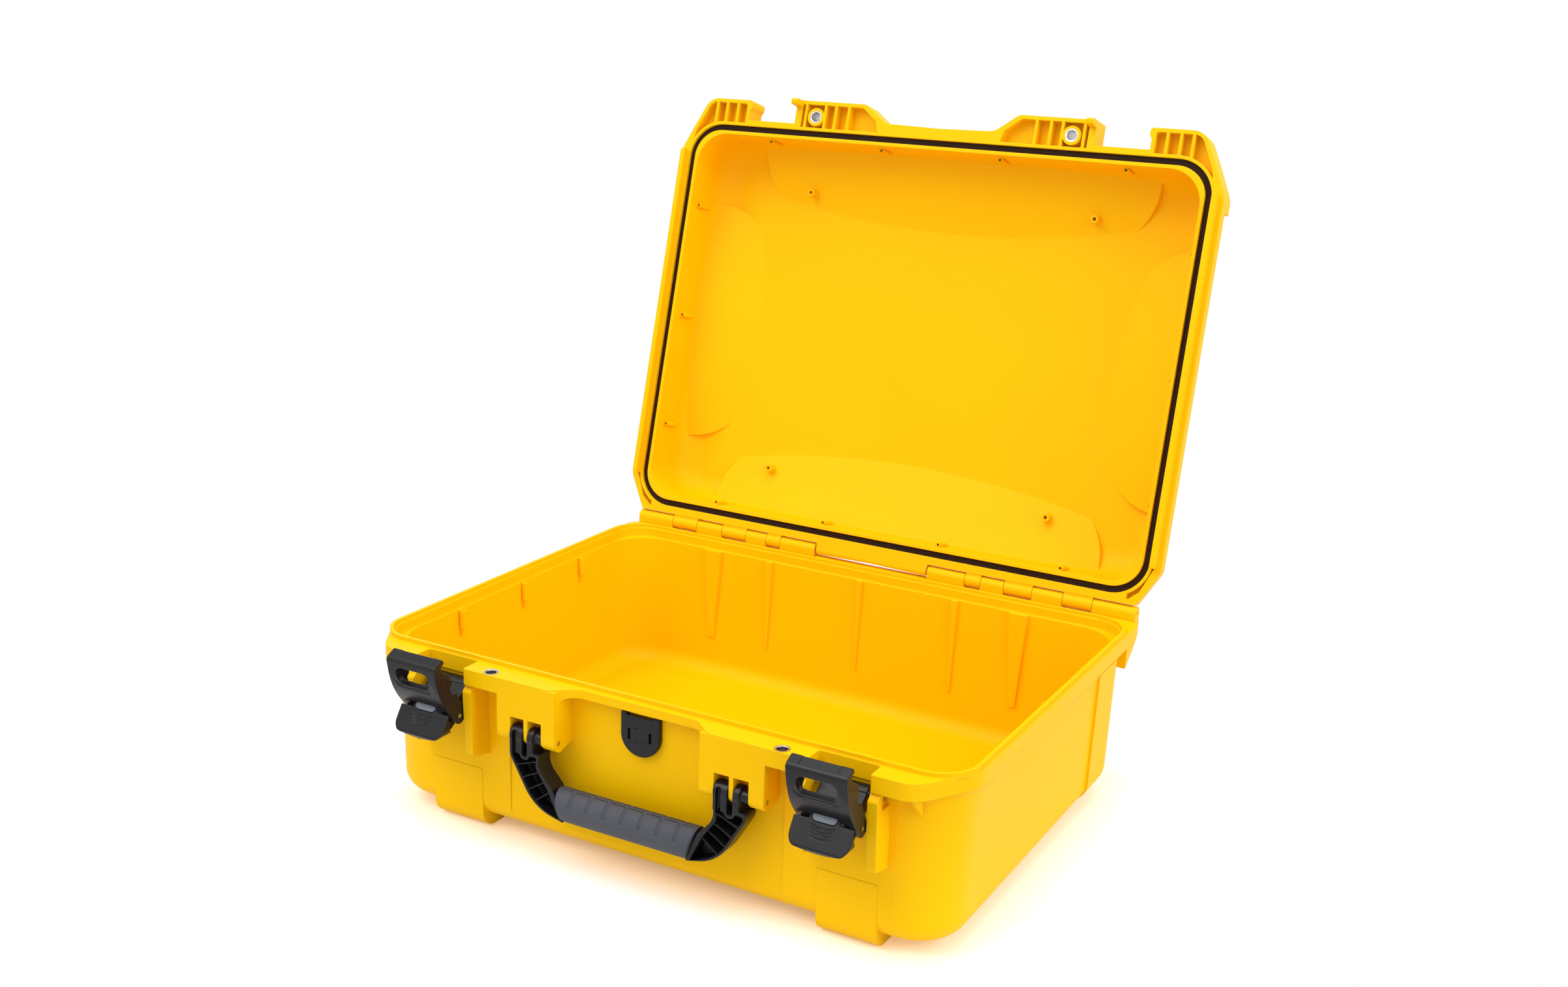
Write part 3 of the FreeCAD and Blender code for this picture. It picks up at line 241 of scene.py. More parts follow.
class SurfaceEffects:
    """Node groups that several finishes share.

    Attributes:
        pit_ratio: scale of the pits against the fine grain.
        pit_share: how much the pits add to the grain's height.
        speckle: swing of the roughness from grain to grain.
        cloud_scale: clouds of roughness per metre.
        drift_band: range of the noise over which the pigment changes.
        patch_scale: patches per metre over which the painted edge highlight changes.
        patch_band: range of the noise over which an edge gets more painted highlight.
        least_rub: how much of the painted highlight the weakest patch shows.
    """

    pit_ratio = 0.7
    pit_share = 0.5
    speckle = 0.08
    cloud_scale = 26.0
    drift_band = (0.32, 0.72)
    patch_scale = 38.0
    patch_band = (0.35, 0.65)
    least_rub = 0.25

    def __init__(self) -> None:
        """Build each group once."""
        self.grain = self._grain()
        self.drift = self._drift()
        self.rub = self._rub()

    def _grain(self) -> bpy.types.NodeTree:
        """Fine spark-eroded texture of a mould.

        Returns:
            The group, with a height and a roughness that change over the surface.
        """
        tree, graph, given, out = new_group(
            "mould_grain",
            [
                ("Position", "NodeSocketVector", None),
                ("Grain Scale", "NodeSocketFloat", 1500.0),
                ("Roughness", "NodeSocketFloat", 0.4),
                ("Variation", "NodeSocketFloat", 0.06),
            ],
            [("Height", "NodeSocketFloat"), ("Roughness", "NodeSocketFloat")],
        )
        fine = graph.add("ShaderNodeTexNoise", Detail=3.0, Roughness=0.6)
        graph.feed(given.outputs["Position"], fine.inputs["Vector"])
        graph.feed(given.outputs["Grain Scale"], fine.inputs["Scale"])
        pits = graph.add("ShaderNodeTexVoronoi", {"feature": "SMOOTH_F1"})
        graph.feed(given.outputs["Position"], pits.inputs["Vector"])
        pit_scale = graph.math("MULTIPLY", given.outputs["Grain Scale"], self.pit_ratio)
        graph.feed(pit_scale, pits.inputs["Scale"])
        blend = graph.math("MULTIPLY", pits.outputs["Distance"], self.pit_share)
        height = graph.math("ADD", fine.outputs["Fac"], blend)
        graph.feed(height, out.inputs["Height"])
        cloud = graph.add("ShaderNodeTexNoise", Scale=self.cloud_scale, Detail=4.0, Roughness=0.55)
        graph.feed(given.outputs["Position"], cloud.inputs["Vector"])
        centred = graph.math("SUBTRACT", cloud.outputs["Fac"], 0.5)
        swing = graph.math("MULTIPLY", centred, given.outputs["Variation"])
        speckle = graph.math("MULTIPLY", graph.math("SUBTRACT", fine.outputs["Fac"], 0.5), self.speckle)
        total = graph.math("ADD", graph.math("ADD", given.outputs["Roughness"], swing), speckle)
        graph.feed(total, out.inputs["Roughness"])
        return tree

    def _drift(self) -> bpy.types.NodeTree:
        """Slow drift of the pigment through a moulding.

        Returns:
            The group, with a colour that changes over the surface.
        """
        tree, graph, given, out = new_group(
            "pigment_drift",
            [
                ("Position", "NodeSocketVector", None),
                ("Colour", "NodeSocketColor", (0.8, 0.8, 0.8, 1.0)),
                ("Deep Colour", "NodeSocketColor", (0.7, 0.7, 0.7, 1.0)),
                ("Scale", "NodeSocketFloat", 5.0),
            ],
            [("Colour", "NodeSocketColor")],
        )
        broad = graph.add("ShaderNodeTexNoise", Detail=2.5, Roughness=0.45, Distortion=0.6)
        graph.feed(given.outputs["Position"], broad.inputs["Vector"])
        graph.feed(given.outputs["Scale"], broad.inputs["Scale"])
        share = graph.ramp(broad.outputs["Fac"], *self.drift_band)
        colour = graph.mix(share, given.outputs["Colour"], given.outputs["Deep Colour"])
        graph.feed(colour, out.inputs["Colour"])
        return tree

    def _rub(self) -> bpy.types.NodeTree:
        """Rounded edges painted paler, a painted highlight, and made a little smoother.

        Returns:
            The group, with a colour and a roughness.
        """
        tree, graph, given, out = new_group(
            "rubbed_edges",
            [
                ("Position", "NodeSocketVector", None),
                ("Edge", "NodeSocketFloat", 0.0),
                ("Colour", "NodeSocketColor", (0.8, 0.8, 0.8, 1.0)),
                ("Rubbed Colour", "NodeSocketColor", (0.9, 0.9, 0.9, 1.0)),
                ("Roughness", "NodeSocketFloat", 0.4),
                ("Polish", "NodeSocketFloat", 0.1),
            ],
            [("Colour", "NodeSocketColor"), ("Roughness", "NodeSocketFloat")],
        )
        patches = graph.add("ShaderNodeTexNoise", Scale=self.patch_scale, Detail=3.0, Roughness=0.6)
        graph.feed(given.outputs["Position"], patches.inputs["Vector"])
        amount = graph.ramp(patches.outputs["Fac"], *self.patch_band, self.least_rub)
        share = graph.math("MULTIPLY", amount, given.outputs["Edge"])
        # Painted highlight: sharp edges take a paler colour, more in some noise patches.
        colour = graph.mix(share, given.outputs["Colour"], given.outputs["Rubbed Colour"])
        graph.feed(colour, out.inputs["Colour"])
        gloss = graph.math("MULTIPLY", share, given.outputs["Polish"])
        graph.feed(graph.math("SUBTRACT", given.outputs["Roughness"], gloss), out.inputs["Roughness"])
        return tree


@dataclass(frozen=True)
class MouldedFinish:
    """A moulded plastic or rubber.

    Attributes:
        slot: the record's slot that it finishes.
        colour: main colour, linear.
        deep: colour where the pigment is densest.
        rubbed: paler colour painted on sharp edges, a painted highlight.
        roughness: mean roughness.
        variation: swing of the roughness over the surface.
        polish: how much smoother a sharp edge is.
        grain_scale: grains per metre.
        grain_depth: depth of the grain.
        specular: specular level.
        edge_radius: radius of the rounding that sharp edges show.
        drift_scale: drifts of the pigment per metre.
        edge_samples: rays that look for a sharp edge.
        edge_band: cosines of the turn between which an edge starts and is full.
        bump_strength: how strongly the grain shows.
    """

    slot: Slot
    colour: Colour
    deep: Colour
    rubbed: Colour
    roughness: float
    variation: float
    polish: float
    grain_scale: float
    grain_depth: float
    specular: float = 0.5
    edge_radius: float = 0.4 * MM
    drift_scale: float = 5.0
    edge_samples: int = 6
    edge_band: tuple[float, float] = (0.995, 0.90)
    bump_strength: float = 0.5

    def make(self, effects: SurfaceEffects) -> bpy.types.Material:
        """Build the material.

        Args:
            effects: the shared node groups.

        Returns:
            The material.
        """
        material, graph = blank_material(self.slot.value)
        place = graph.add("ShaderNodeTexCoord").outputs["Object"]
        drift = graph.add("ShaderNodeGroup", {"node_tree": effects.drift}, Scale=self.drift_scale)
        graph.feed(place, drift.inputs["Position"])
        graph.feed(self.colour, drift.inputs["Colour"])
        graph.feed(self.deep, drift.inputs["Deep Colour"])
        grain = graph.add("ShaderNodeGroup", {"node_tree": effects.grain}, Grain_Scale=self.grain_scale)
        graph.feed(place, grain.inputs["Position"])
        graph.feed(self.roughness, grain.inputs["Roughness"])
        graph.feed(self.variation, grain.inputs["Variation"])
        rounded = graph.add("ShaderNodeBevel", {"samples": self.edge_samples}, Radius=self.edge_radius)
        turn = graph.add("ShaderNodeVectorMath", {"operation": "DOT_PRODUCT"})
        graph.feed(rounded.outputs["Normal"], turn.inputs[0])
        graph.feed(graph.add("ShaderNodeNewGeometry").outputs["Normal"], turn.inputs[1])
        edge = graph.ramp(turn.outputs["Value"], *self.edge_band)
        # Painted highlight along sharp edges from the edge mask, with lower roughness there.
        rub = graph.add("ShaderNodeGroup", {"node_tree": effects.rub}, Polish=self.polish)
        graph.feed(place, rub.inputs["Position"])
        graph.feed(edge, rub.inputs["Edge"])
        graph.feed(drift.outputs["Colour"], rub.inputs["Colour"])
        graph.feed(self.rubbed, rub.inputs["Rubbed Colour"])
        graph.feed(grain.outputs["Roughness"], rub.inputs["Roughness"])
        bump = graph.add("ShaderNodeBump", Strength=self.bump_strength, Distance=self.grain_depth)
        graph.feed(grain.outputs["Height"], bump.inputs["Height"])
        graph.feed(rounded.outputs["Normal"], bump.inputs["Normal"])
        shader = graph.add("ShaderNodeBsdfPrincipled", Specular_IOR_Level=self.specular)
        graph.feed(rub.outputs["Colour"], shader.inputs["Base Color"])
        graph.feed(rub.outputs["Roughness"], shader.inputs["Roughness"])
        graph.feed(bump.outputs["Normal"], shader.inputs["Normal"])
        out = graph.add("ShaderNodeOutputMaterial")
        graph.feed(shader.outputs["BSDF"], out.inputs["Surface"])
        return material


@dataclass(frozen=True)
class SteelFinish:
    """Turned steel with fine tool lines.

    Attributes:
        slot: the record's slot that it finishes.
        colour: colour of the bright metal, linear.
        dull: colour of its darker streaks.
        roughness: mean roughness.
        variation: swing of the roughness over the surface.
        drift_scale: streaks per metre.
        line_scale: tool lines per metre.
        line_depth: depth of the tool lines.
        bump_strength: how strongly the tool lines show.
    """

    slot: Slot = Slot.STEEL
    colour: Colour = (0.62, 0.61, 0.59)
    dull: Colour = (0.42, 0.41, 0.40)
    roughness: float = 0.26
    variation: float = 0.16
    drift_scale: float = 240.0
    line_scale: float = 2600.0
    line_depth: float = 0.03 * MM
    bump_strength: float = 0.4

    def make(self, effects: SurfaceEffects) -> bpy.types.Material:
        """Build the material.

        Args:
            effects: the shared node groups.

        Returns:
            The material.
        """
        material, graph = blank_material(self.slot.value)
        place = graph.add("ShaderNodeTexCoord").outputs["Object"]
        drift = graph.add("ShaderNodeGroup", {"node_tree": effects.drift}, Scale=self.drift_scale)
        graph.feed(place, drift.inputs["Position"])
        graph.feed(self.colour, drift.inputs["Colour"])
        graph.feed(self.dull, drift.inputs["Deep Colour"])
        grain = graph.add("ShaderNodeGroup", {"node_tree": effects.grain}, Grain_Scale=self.line_scale)
        graph.feed(place, grain.inputs["Position"])
        graph.feed(self.roughness, grain.inputs["Roughness"])
        graph.feed(self.variation, grain.inputs["Variation"])
        bump = graph.add("ShaderNodeBump", Strength=self.bump_strength, Distance=self.line_depth)
        graph.feed(grain.outputs["Height"], bump.inputs["Height"])
        shader = graph.add("ShaderNodeBsdfPrincipled", Metallic=1.0)
        graph.feed(drift.outputs["Colour"], shader.inputs["Base Color"])
        graph.feed(grain.outputs["Roughness"], shader.inputs["Roughness"])
        graph.feed(bump.outputs["Normal"], shader.inputs["Normal"])
        out = graph.add("ShaderNodeOutputMaterial")
        graph.feed(shader.outputs["BSDF"], out.inputs["Surface"])
        return material


FINISHES: tuple[MouldedFinish | SteelFinish, ...] = (
    MouldedFinish(
        slot=Slot.SHELL,
        colour=(0.97, 0.56, 0.0),
        deep=(0.96, 0.54, 0.0),
        rubbed=(0.98, 0.60, 0.01),
        roughness=0.44,
        variation=0.10,
        polish=0.10,
        grain_scale=1500.0,
        grain_depth=0.04 * MM,
        specular=0.08,
        edge_radius=0.9 * MM,
    ),
    MouldedFinish(
        slot=Slot.BLACK,
        colour=(0.0098, 0.0086, 0.0108),
        deep=(0.0076, 0.0067, 0.0084),
        rubbed=(0.024, 0.022, 0.026),
        roughness=0.29,
        variation=0.12,
        polish=0.08,
        grain_scale=2600.0,
        grain_depth=0.03 * MM,
        specular=0.30,
    ),
    MouldedFinish(
        slot=Slot.GRIP,
        colour=(0.070, 0.075, 0.092),
        deep=(0.060, 0.065, 0.080),
        rubbed=(0.095, 0.102, 0.122),
        roughness=0.60,
        variation=0.10,
        polish=0.10,
        grain_scale=2200.0,
        grain_depth=0.07 * MM,
        specular=0.35,
    ),
    MouldedFinish(
        slot=Slot.BUTTON,
        colour=(0.205, 0.235, 0.275),
        deep=(0.185, 0.213, 0.250),
        rubbed=(0.26, 0.29, 0.33),
        roughness=0.38,
        variation=0.08,
        polish=0.08,
        grain_scale=2600.0,
        grain_depth=0.04 * MM,
    ),
    MouldedFinish(
        slot=Slot.GASKET,
        # Dark rubber whose brown tint is a painted reflection of the yellow case.
        colour=(0.036, 0.0150, 0.0060),
        deep=(0.028, 0.0115, 0.0046),
        rubbed=(0.052, 0.032, 0.022),
        roughness=0.62,
        variation=0.10,
        polish=0.08,
        grain_scale=3200.0,
        grain_depth=0.06 * MM,
        specular=0.12,
    ),
    MouldedFinish(
        slot=Slot.MEMBRANE,
        colour=(0.62, 0.62, 0.60),
        deep=(0.55, 0.55, 0.53),
        rubbed=(0.66, 0.66, 0.64),
        roughness=0.75,
        variation=0.10,
        polish=0.0,
        grain_scale=4200.0,
        grain_depth=0.08 * MM,
        specular=0.3,
    ),
    SteelFinish(),
)


class Finishes:
    """Every material of the case by its slot."""

    def __init__(self) -> None:
        """Build the shared effects and then each finish."""
        effects = SurfaceEffects()
        self._by_slot = {finish.slot: finish.make(effects) for finish in FINISHES}

    def dress(self, obj: bpy.types.Object, slot: Slot) -> None:
        """Give a piece its finish.

        Args:
            obj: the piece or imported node.
            slot: which finish.
        """
        obj.data.materials.clear()
        obj.data.materials.append(self._by_slot[slot])

    def complete(self, obj: bpy.types.Object, slot: Slot) -> None:
        """Give a new piece its finish and report it.

        Args:
            obj: the new piece.
            slot: which finish.
        """
        self.dress(obj, slot)
        LOG.info("%s: %d faces", obj.name, len(obj.data.polygons))


def deselect_all() -> None:
    """Leave nothing selected."""
    bpy.ops.object.select_all(action="DESELECT")


def activate(obj: bpy.types.Object) -> None:
    """Make one object the selected and active one.

    Args:
        obj: the object.
    """
    deselect_all()
    obj.select_set(True)
    bpy.context.view_layer.objects.active = obj


@contextmanager
def editing(obj: bpy.types.Object, mode: str = "FACE") -> Iterator[None]:
    """Work on a mesh in edit mode.

    Args:
        obj: the object to edit.
        mode: the selection mode, VERT, EDGE or FACE.

    Yields:
        Nothing.
    """
    activate(obj)
    bpy.ops.object.mode_set(mode="EDIT")
    bpy.ops.mesh.select_mode(type=mode)
    try:
        yield
    finally:
        bpy.ops.object.mode_set(mode="OBJECT")


def pick_faces(obj: bpy.types.Object, wanted: Callable[[Vector], bool]) -> None:
    """Select faces by their place, from edit mode.

    Args:
        obj: the object in edit mode.
        wanted: says from a face's centre whether it is picked.
    """
    bpy.ops.mesh.select_all(action="DESELECT")
    bpy.ops.object.mode_set(mode="OBJECT")
    for face in obj.data.polygons:
        face.select = wanted(face.center)
    bpy.ops.object.mode_set(mode="EDIT")


def apply_modifier(obj: bpy.types.Object, kind: str, **settings: object) -> None:
    """Add a modifier and apply it.

    Args:
        obj: the object.
        kind: the modifier's type.
        settings: its properties.
    """
    activate(obj)
    modifier = obj.modifiers.new(kind.lower(), kind)
    for name, value in settings.items():
        setattr(modifier, name, value)
    bpy.ops.object.modifier_apply(modifier=modifier.name)


@dataclass(frozen=True)
class SoftEdges:
    """How the edges of a moulding are softened.

    Attributes:
        skin: grid size of the new skin.
        passes: smoothing passes over it.
        keep: share of the skin's faces that is kept.
    """

    skin: float
    passes: int
    keep: float


class SoftMoulding:
    """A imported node's shape with the soft edges of a real moulding.

    Attributes:
        merge_distance: distance under which corners of the copy are one.
        smoothing: share of the way that a smoothing pass moves a corner.
    """

    merge_distance = 0.002 * MM
    smoothing = 0.5

    def __init__(self, node: str, piece: str, edges: SoftEdges) -> None:
        """Keep what to copy and how to soften it.

        Args:
            node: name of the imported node.
            piece: name of the new piece.
            edges: the edges' softening.
        """
        self.node = node
        self.piece = piece
        self.edges = edges

    def build(self) -> bpy.types.Object:
        """Copy, merge and soften the node.

        Returns:
            The new piece, which rides with the node's body and stands for the node.
        """
        source = frame["nodes"][self.node]
        body = source["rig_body"]
        activate(source)
        bpy.ops.object.duplicate()
        obj = bpy.context.view_layer.objects.active
        bpy.ops.object.parent_clear(type="CLEAR_KEEP_TRANSFORM")
        obj.name = self.piece
        obj.data.name = self.piece
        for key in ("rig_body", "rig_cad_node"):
            del obj[key]
        with editing(obj):
            bpy.ops.mesh.select_all(action="SELECT")
            bpy.ops.mesh.remove_doubles(threshold=self.merge_distance)
        self._soften(obj)
        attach(obj, body)
        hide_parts(self.node)
        return obj

    def _soften(self, obj: bpy.types.Object) -> None:
        """Give the copy a new skin with rounded edges.

        Args:
            obj: the merged copy.
        """
        apply_modifier(obj, "REMESH", mode="VOXEL", voxel_size=self.edges.skin, adaptivity=0.0)
        apply_modifier(obj, "SMOOTH", factor=self.smoothing, iterations=self.edges.passes)
        apply_modifier(obj, "DECIMATE", decimate_type="COLLAPSE", ratio=self.edges.keep)
        activate(obj)
        bpy.ops.object.shade_smooth()


@dataclass
class CarryGrip:
    """Soft grip of the carrying handle, an oval bar with finger dashes.

    Attributes:
        half_depth: half of its depth, front to back.
        half_height: half of its height.
        top_half: half of its length along the top.
        low_half: half of its length along the bottom.
        sides: faces round the bar.
        dash_pitch: distance between dashes.
        dashes: dashes in one row.
        dash_half: half of a dash's width at its floor.
        dash_lip: width of a dash's sloping side.
        dash_depth: depth of a dash.
        dash_spread: half of the angle that a dash spans, in degrees.
        dash_turn: middle of the front row above the front, in degrees.
        end_round: rounding of the ends.
        end_steps: steps of that rounding.
        end_angle: least turn of an edge that is rounded, in degrees.
        smooth_angle: turn up to which faces are shaded as one, in degrees.
    """

    half_depth: float = 10.8 * MM
    half_height: float = 12.2 * MM
    top_half: float = 56.75 * MM
    low_half: float = 49.75 * MM
    sides: int = 96
    dash_pitch: float = 14.4 * MM
    dashes: int = 7
    dash_half: float = 0.7 * MM
    dash_lip: float = 0.8 * MM
    dash_depth: float = 1.1 * MM
    dash_spread: float = 33.0
    dash_turn: float = 46.0
    end_round: float = 0.9 * MM
    end_steps: int = 3
    end_angle: float = 50.0
    smooth_angle: float = 60.0

    def build(self) -> bpy.types.Object:
        """Model the grip.

        Returns:
            The grip.
        """
        low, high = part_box("handle_grip")
        centre = (low + high) / 2
        deselect_all()
        bpy.ops.mesh.primitive_cylinder_add(
            vertices=self.sides,
            radius=1.0,
            depth=3 * self.top_half,
            end_fill_type="NGON",
            location=centre,
            rotation=(0.0, math.pi / 2, 0.0),
        )
        obj = bpy.context.object
        obj.name = "handle_grip_soft"
        bpy.ops.object.transform_apply(location=False, rotation=True, scale=True)
        with editing(obj):
            bpy.ops.mesh.select_all(action="SELECT")
            bpy.ops.transform.resize(value=(1.0, self.half_depth, self.half_height), center_override=centre)
            self._trim(centre)
            for x in self._rings():
                bpy.ops.mesh.select_all(action="SELECT")
                bpy.ops.mesh.bisect(plane_co=(centre.x + x, centre.y, centre.z), plane_no=(1.0, 0.0, 0.0))
        bpy.ops.object.transform_apply(location=True, rotation=False, scale=False)
        with editing(obj):
            self._press_dashes(obj, centre)
        apply_modifier(
            obj,
            "BEVEL",
            width=self.end_round,
            segments=self.end_steps,
            limit_method="ANGLE",
            angle_limit=math.radians(self.end_angle),
        )
        activate(obj)
        bpy.ops.object.shade_smooth_by_angle(angle=math.radians(self.smooth_angle))
        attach(obj, "handle")
        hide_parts("handle_grip")
        return obj

    def _rings(self) -> list[float]:
        """Places along the bar where the dashes need edges.

        Returns:
            Distances from the middle.
        """
        places = []
        for number in range(self.dashes):
            middle = (number - (self.dashes - 1) / 2) * self.dash_pitch
            for step in (self.dash_half + self.dash_lip, self.dash_half):
                places += [middle - step, middle + step]
        return sorted(places)

    def _trim(self, centre: Vector) -> None:
        """Cut both slanted ends.

        Args:
            centre: the bar's centre.
        """
        lean = self.top_half - self.low_half
        middle = (self.top_half + self.low_half) / 2
        for side in (1, -1):
            bpy.ops.mesh.select_all(action="SELECT")
            bpy.ops.mesh.bisect(
                plane_co=(centre.x + side * middle, centre.y, centre.z),
                plane_no=(side * 2 * self.half_height, 0.0, -lean),
                use_fill=True,
                clear_outer=True,
            )

    def _press_dashes(self, obj: bpy.types.Object, centre: Vector) -> None:
        """Press the two rows of dashes into the bar.

        Args:
            obj: the grip in edit mode.
            centre: the bar's centre.
        """
        spread = math.radians(self.dash_spread)

        def in_dash(place: Vector) -> bool:
            """Whether a face lies on the floor of a dash."""
            along = (place.x - centre.x) / self.dash_pitch + (self.dashes - 1) / 2
            number = round(along)
            if not 0 <= number < self.dashes or abs(along - number) * self.dash_pitch > self.dash_half:
                return False
            offset = place - centre
            angle = math.atan2(offset.z / self.half_height, offset.y / self.half_depth)
            turn = math.radians(self.dash_turn)
            return any(abs(angle - middle) < spread for middle in (turn, math.pi - turn))

        pick_faces(obj, in_dash)
        bpy.ops.transform.shrink_fatten(value=-self.dash_depth)


@dataclass
class ButtonSpring:
    """Coil spring behind a latch's lock button.

    Attributes:
        side: which latch.
        coil: radius to the middle of the wire.
        wire: radius of the wire.
        turns: number of turns.
        way: direction of the button's travel.
        wire_sides: faces round the wire.
        turn_steps: steps in one turn.
        merge_distance: distance under which corners are one.
        smooth_angle: turn up to which faces are shaded as one, in degrees.
    """

    side: Side
    coil: float = 1.9 * MM
    wire: float = 0.28 * MM
    turns: int = 5
    way: tuple[float, float, float] = (0.0, 0.8396, -0.5433)
    wire_sides: int = 8
    turn_steps: int = 20
    merge_distance: float = 0.001 * MM
    smooth_angle: float = 60.0

    def build(self) -> bpy.types.Object:
        """Wind the spring.

        Returns:
            The spring.
        """
        node = f"button_spring_{self.side.word}"
        low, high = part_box(node)
        centre = (low + high) / 2
        mesh = frame["nodes"][node].data
        way = Vector(self.way)
        reach = [(v.co - centre).dot(way) for v in mesh.vertices]
        length = max(reach) - min(reach) - 2 * self.wire
        deselect_all()
        bpy.ops.mesh.primitive_circle_add(
            vertices=self.wire_sides,
            radius=self.wire,
            location=(self.coil, 0.0, -length / 2),
            rotation=(math.pi / 2, 0.0, 0.0),
        )
        obj = bpy.context.object
        obj.name = f"{node}_coil"
        bpy.ops.object.transform_apply(location=True, rotation=True, scale=True)
        apply_modifier(
            obj,
            "SCREW",
            axis="Z",
            angle=2 * math.pi,
            screw_offset=length / self.turns,
            iterations=self.turns,
            steps=self.turn_steps,
            render_steps=self.turn_steps,
            use_merge_vertices=False,
        )
        with editing(obj, "VERT"):
            bpy.ops.mesh.select_all(action="SELECT")
            bpy.ops.mesh.remove_doubles(threshold=self.merge_distance)
            bpy.ops.mesh.select_all(action="DESELECT")
            bpy.ops.mesh.select_non_manifold()
            bpy.ops.mesh.edge_face_add()
            bpy.ops.mesh.select_all(action="SELECT")
            bpy.ops.mesh.normals_make_consistent(inside=False)
        obj.matrix_world = Matrix.Translation(centre) @ way.to_track_quat("Z", "Y").to_matrix().to_4x4()
        activate(obj)
        bpy.ops.object.transform_apply(location=True, rotation=True, scale=True)
        bpy.ops.object.shade_smooth_by_angle(angle=math.radians(self.smooth_angle))
        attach(obj, f"lever_{self.side.word}")
        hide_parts(node)
        return obj


@dataclass(frozen=True)
class PhotoCamera:
    """Camera at the photograph's viewing angle.

    Attributes:
        azimuth: turn round the case, in degrees.
        elevation: height above the horizon, in degrees.
        roll: turn about the line of sight, in degrees.
        focal: focal length in the photograph's pixels.
        width: the photograph's width in pixels.
        target: the point in the middle of the picture.
        distance: distance from that point.
        sensor: width of the camera's sensor, in millimetres.
        clip: nearest and furthest distance that it shows.
    """

    azimuth: float = 28.21
    elevation: float = 15.89
    roll: float = 2.18
    focal: float = 2636.3
    width: float = 2408.0
    target: tuple[float, float, float] = (0.01242, -0.00112, 0.24351)
    distance: float = 1.26884
    sensor: float = 36.0
    clip: tuple[float, float] = (0.05, 60.0)

    def build(self) -> bpy.types.Object:
        """Place the camera.

        Returns:
            The scene's camera.
        """
        azimuth, elevation, roll = (math.radians(a) for a in (self.azimuth, self.elevation, self.roll))
        level = Vector((math.sin(azimuth), -math.cos(azimuth), 0.0))
        back = level * math.cos(elevation) + Vector((0.0, 0.0, math.sin(elevation)))
        across = Vector((math.cos(azimuth), math.sin(azimuth), 0.0))
        above = back.cross(across)
        right = across * math.cos(roll) + above * math.sin(roll)
        top = above * math.cos(roll) - across * math.sin(roll)
        turn = Matrix((right, top, back)).transposed().to_4x4()
        deselect_all()
        bpy.ops.object.camera_add()
        camera = bpy.context.object
        camera.name = "photo_camera"
        camera.matrix_world = Matrix.Translation(Vector(self.target) + back * self.distance) @ turn
        camera.data.sensor_fit = "HORIZONTAL"
        camera.data.sensor_width = self.sensor
        camera.data.lens = self.sensor * self.focal / self.width
        camera.data.clip_start, camera.data.clip_end = self.clip
        bpy.context.scene.camera = camera
        return camera


@dataclass(frozen=True)
class Softbox:
    """One large soft lamp.

    Attributes:
        name: its name.
        place: where it stands.
        aim: the point that it faces.
        size: its width and height.
        power: its power in watts.
    """

    name: str
    place: tuple[float, float, float]
    aim: tuple[float, float, float]
    size: tuple[float, float]
    power: float

    def build(self) -> bpy.types.Object:
        """Place the lamp.

        Returns:
            The lamp.
        """
        deselect_all()
        bpy.ops.object.light_add(type="AREA", location=self.place)
        lamp = bpy.context.object
        lamp.name = self.name
        lamp.rotation_euler = (Vector(self.aim) - Vector(self.place)).to_track_quat("-Z", "Y").to_euler()
        lamp.data.shape = "RECTANGLE"
        lamp.data.size, lamp.data.size_y = self.size
        lamp.data.energy = self.power
        return lamp


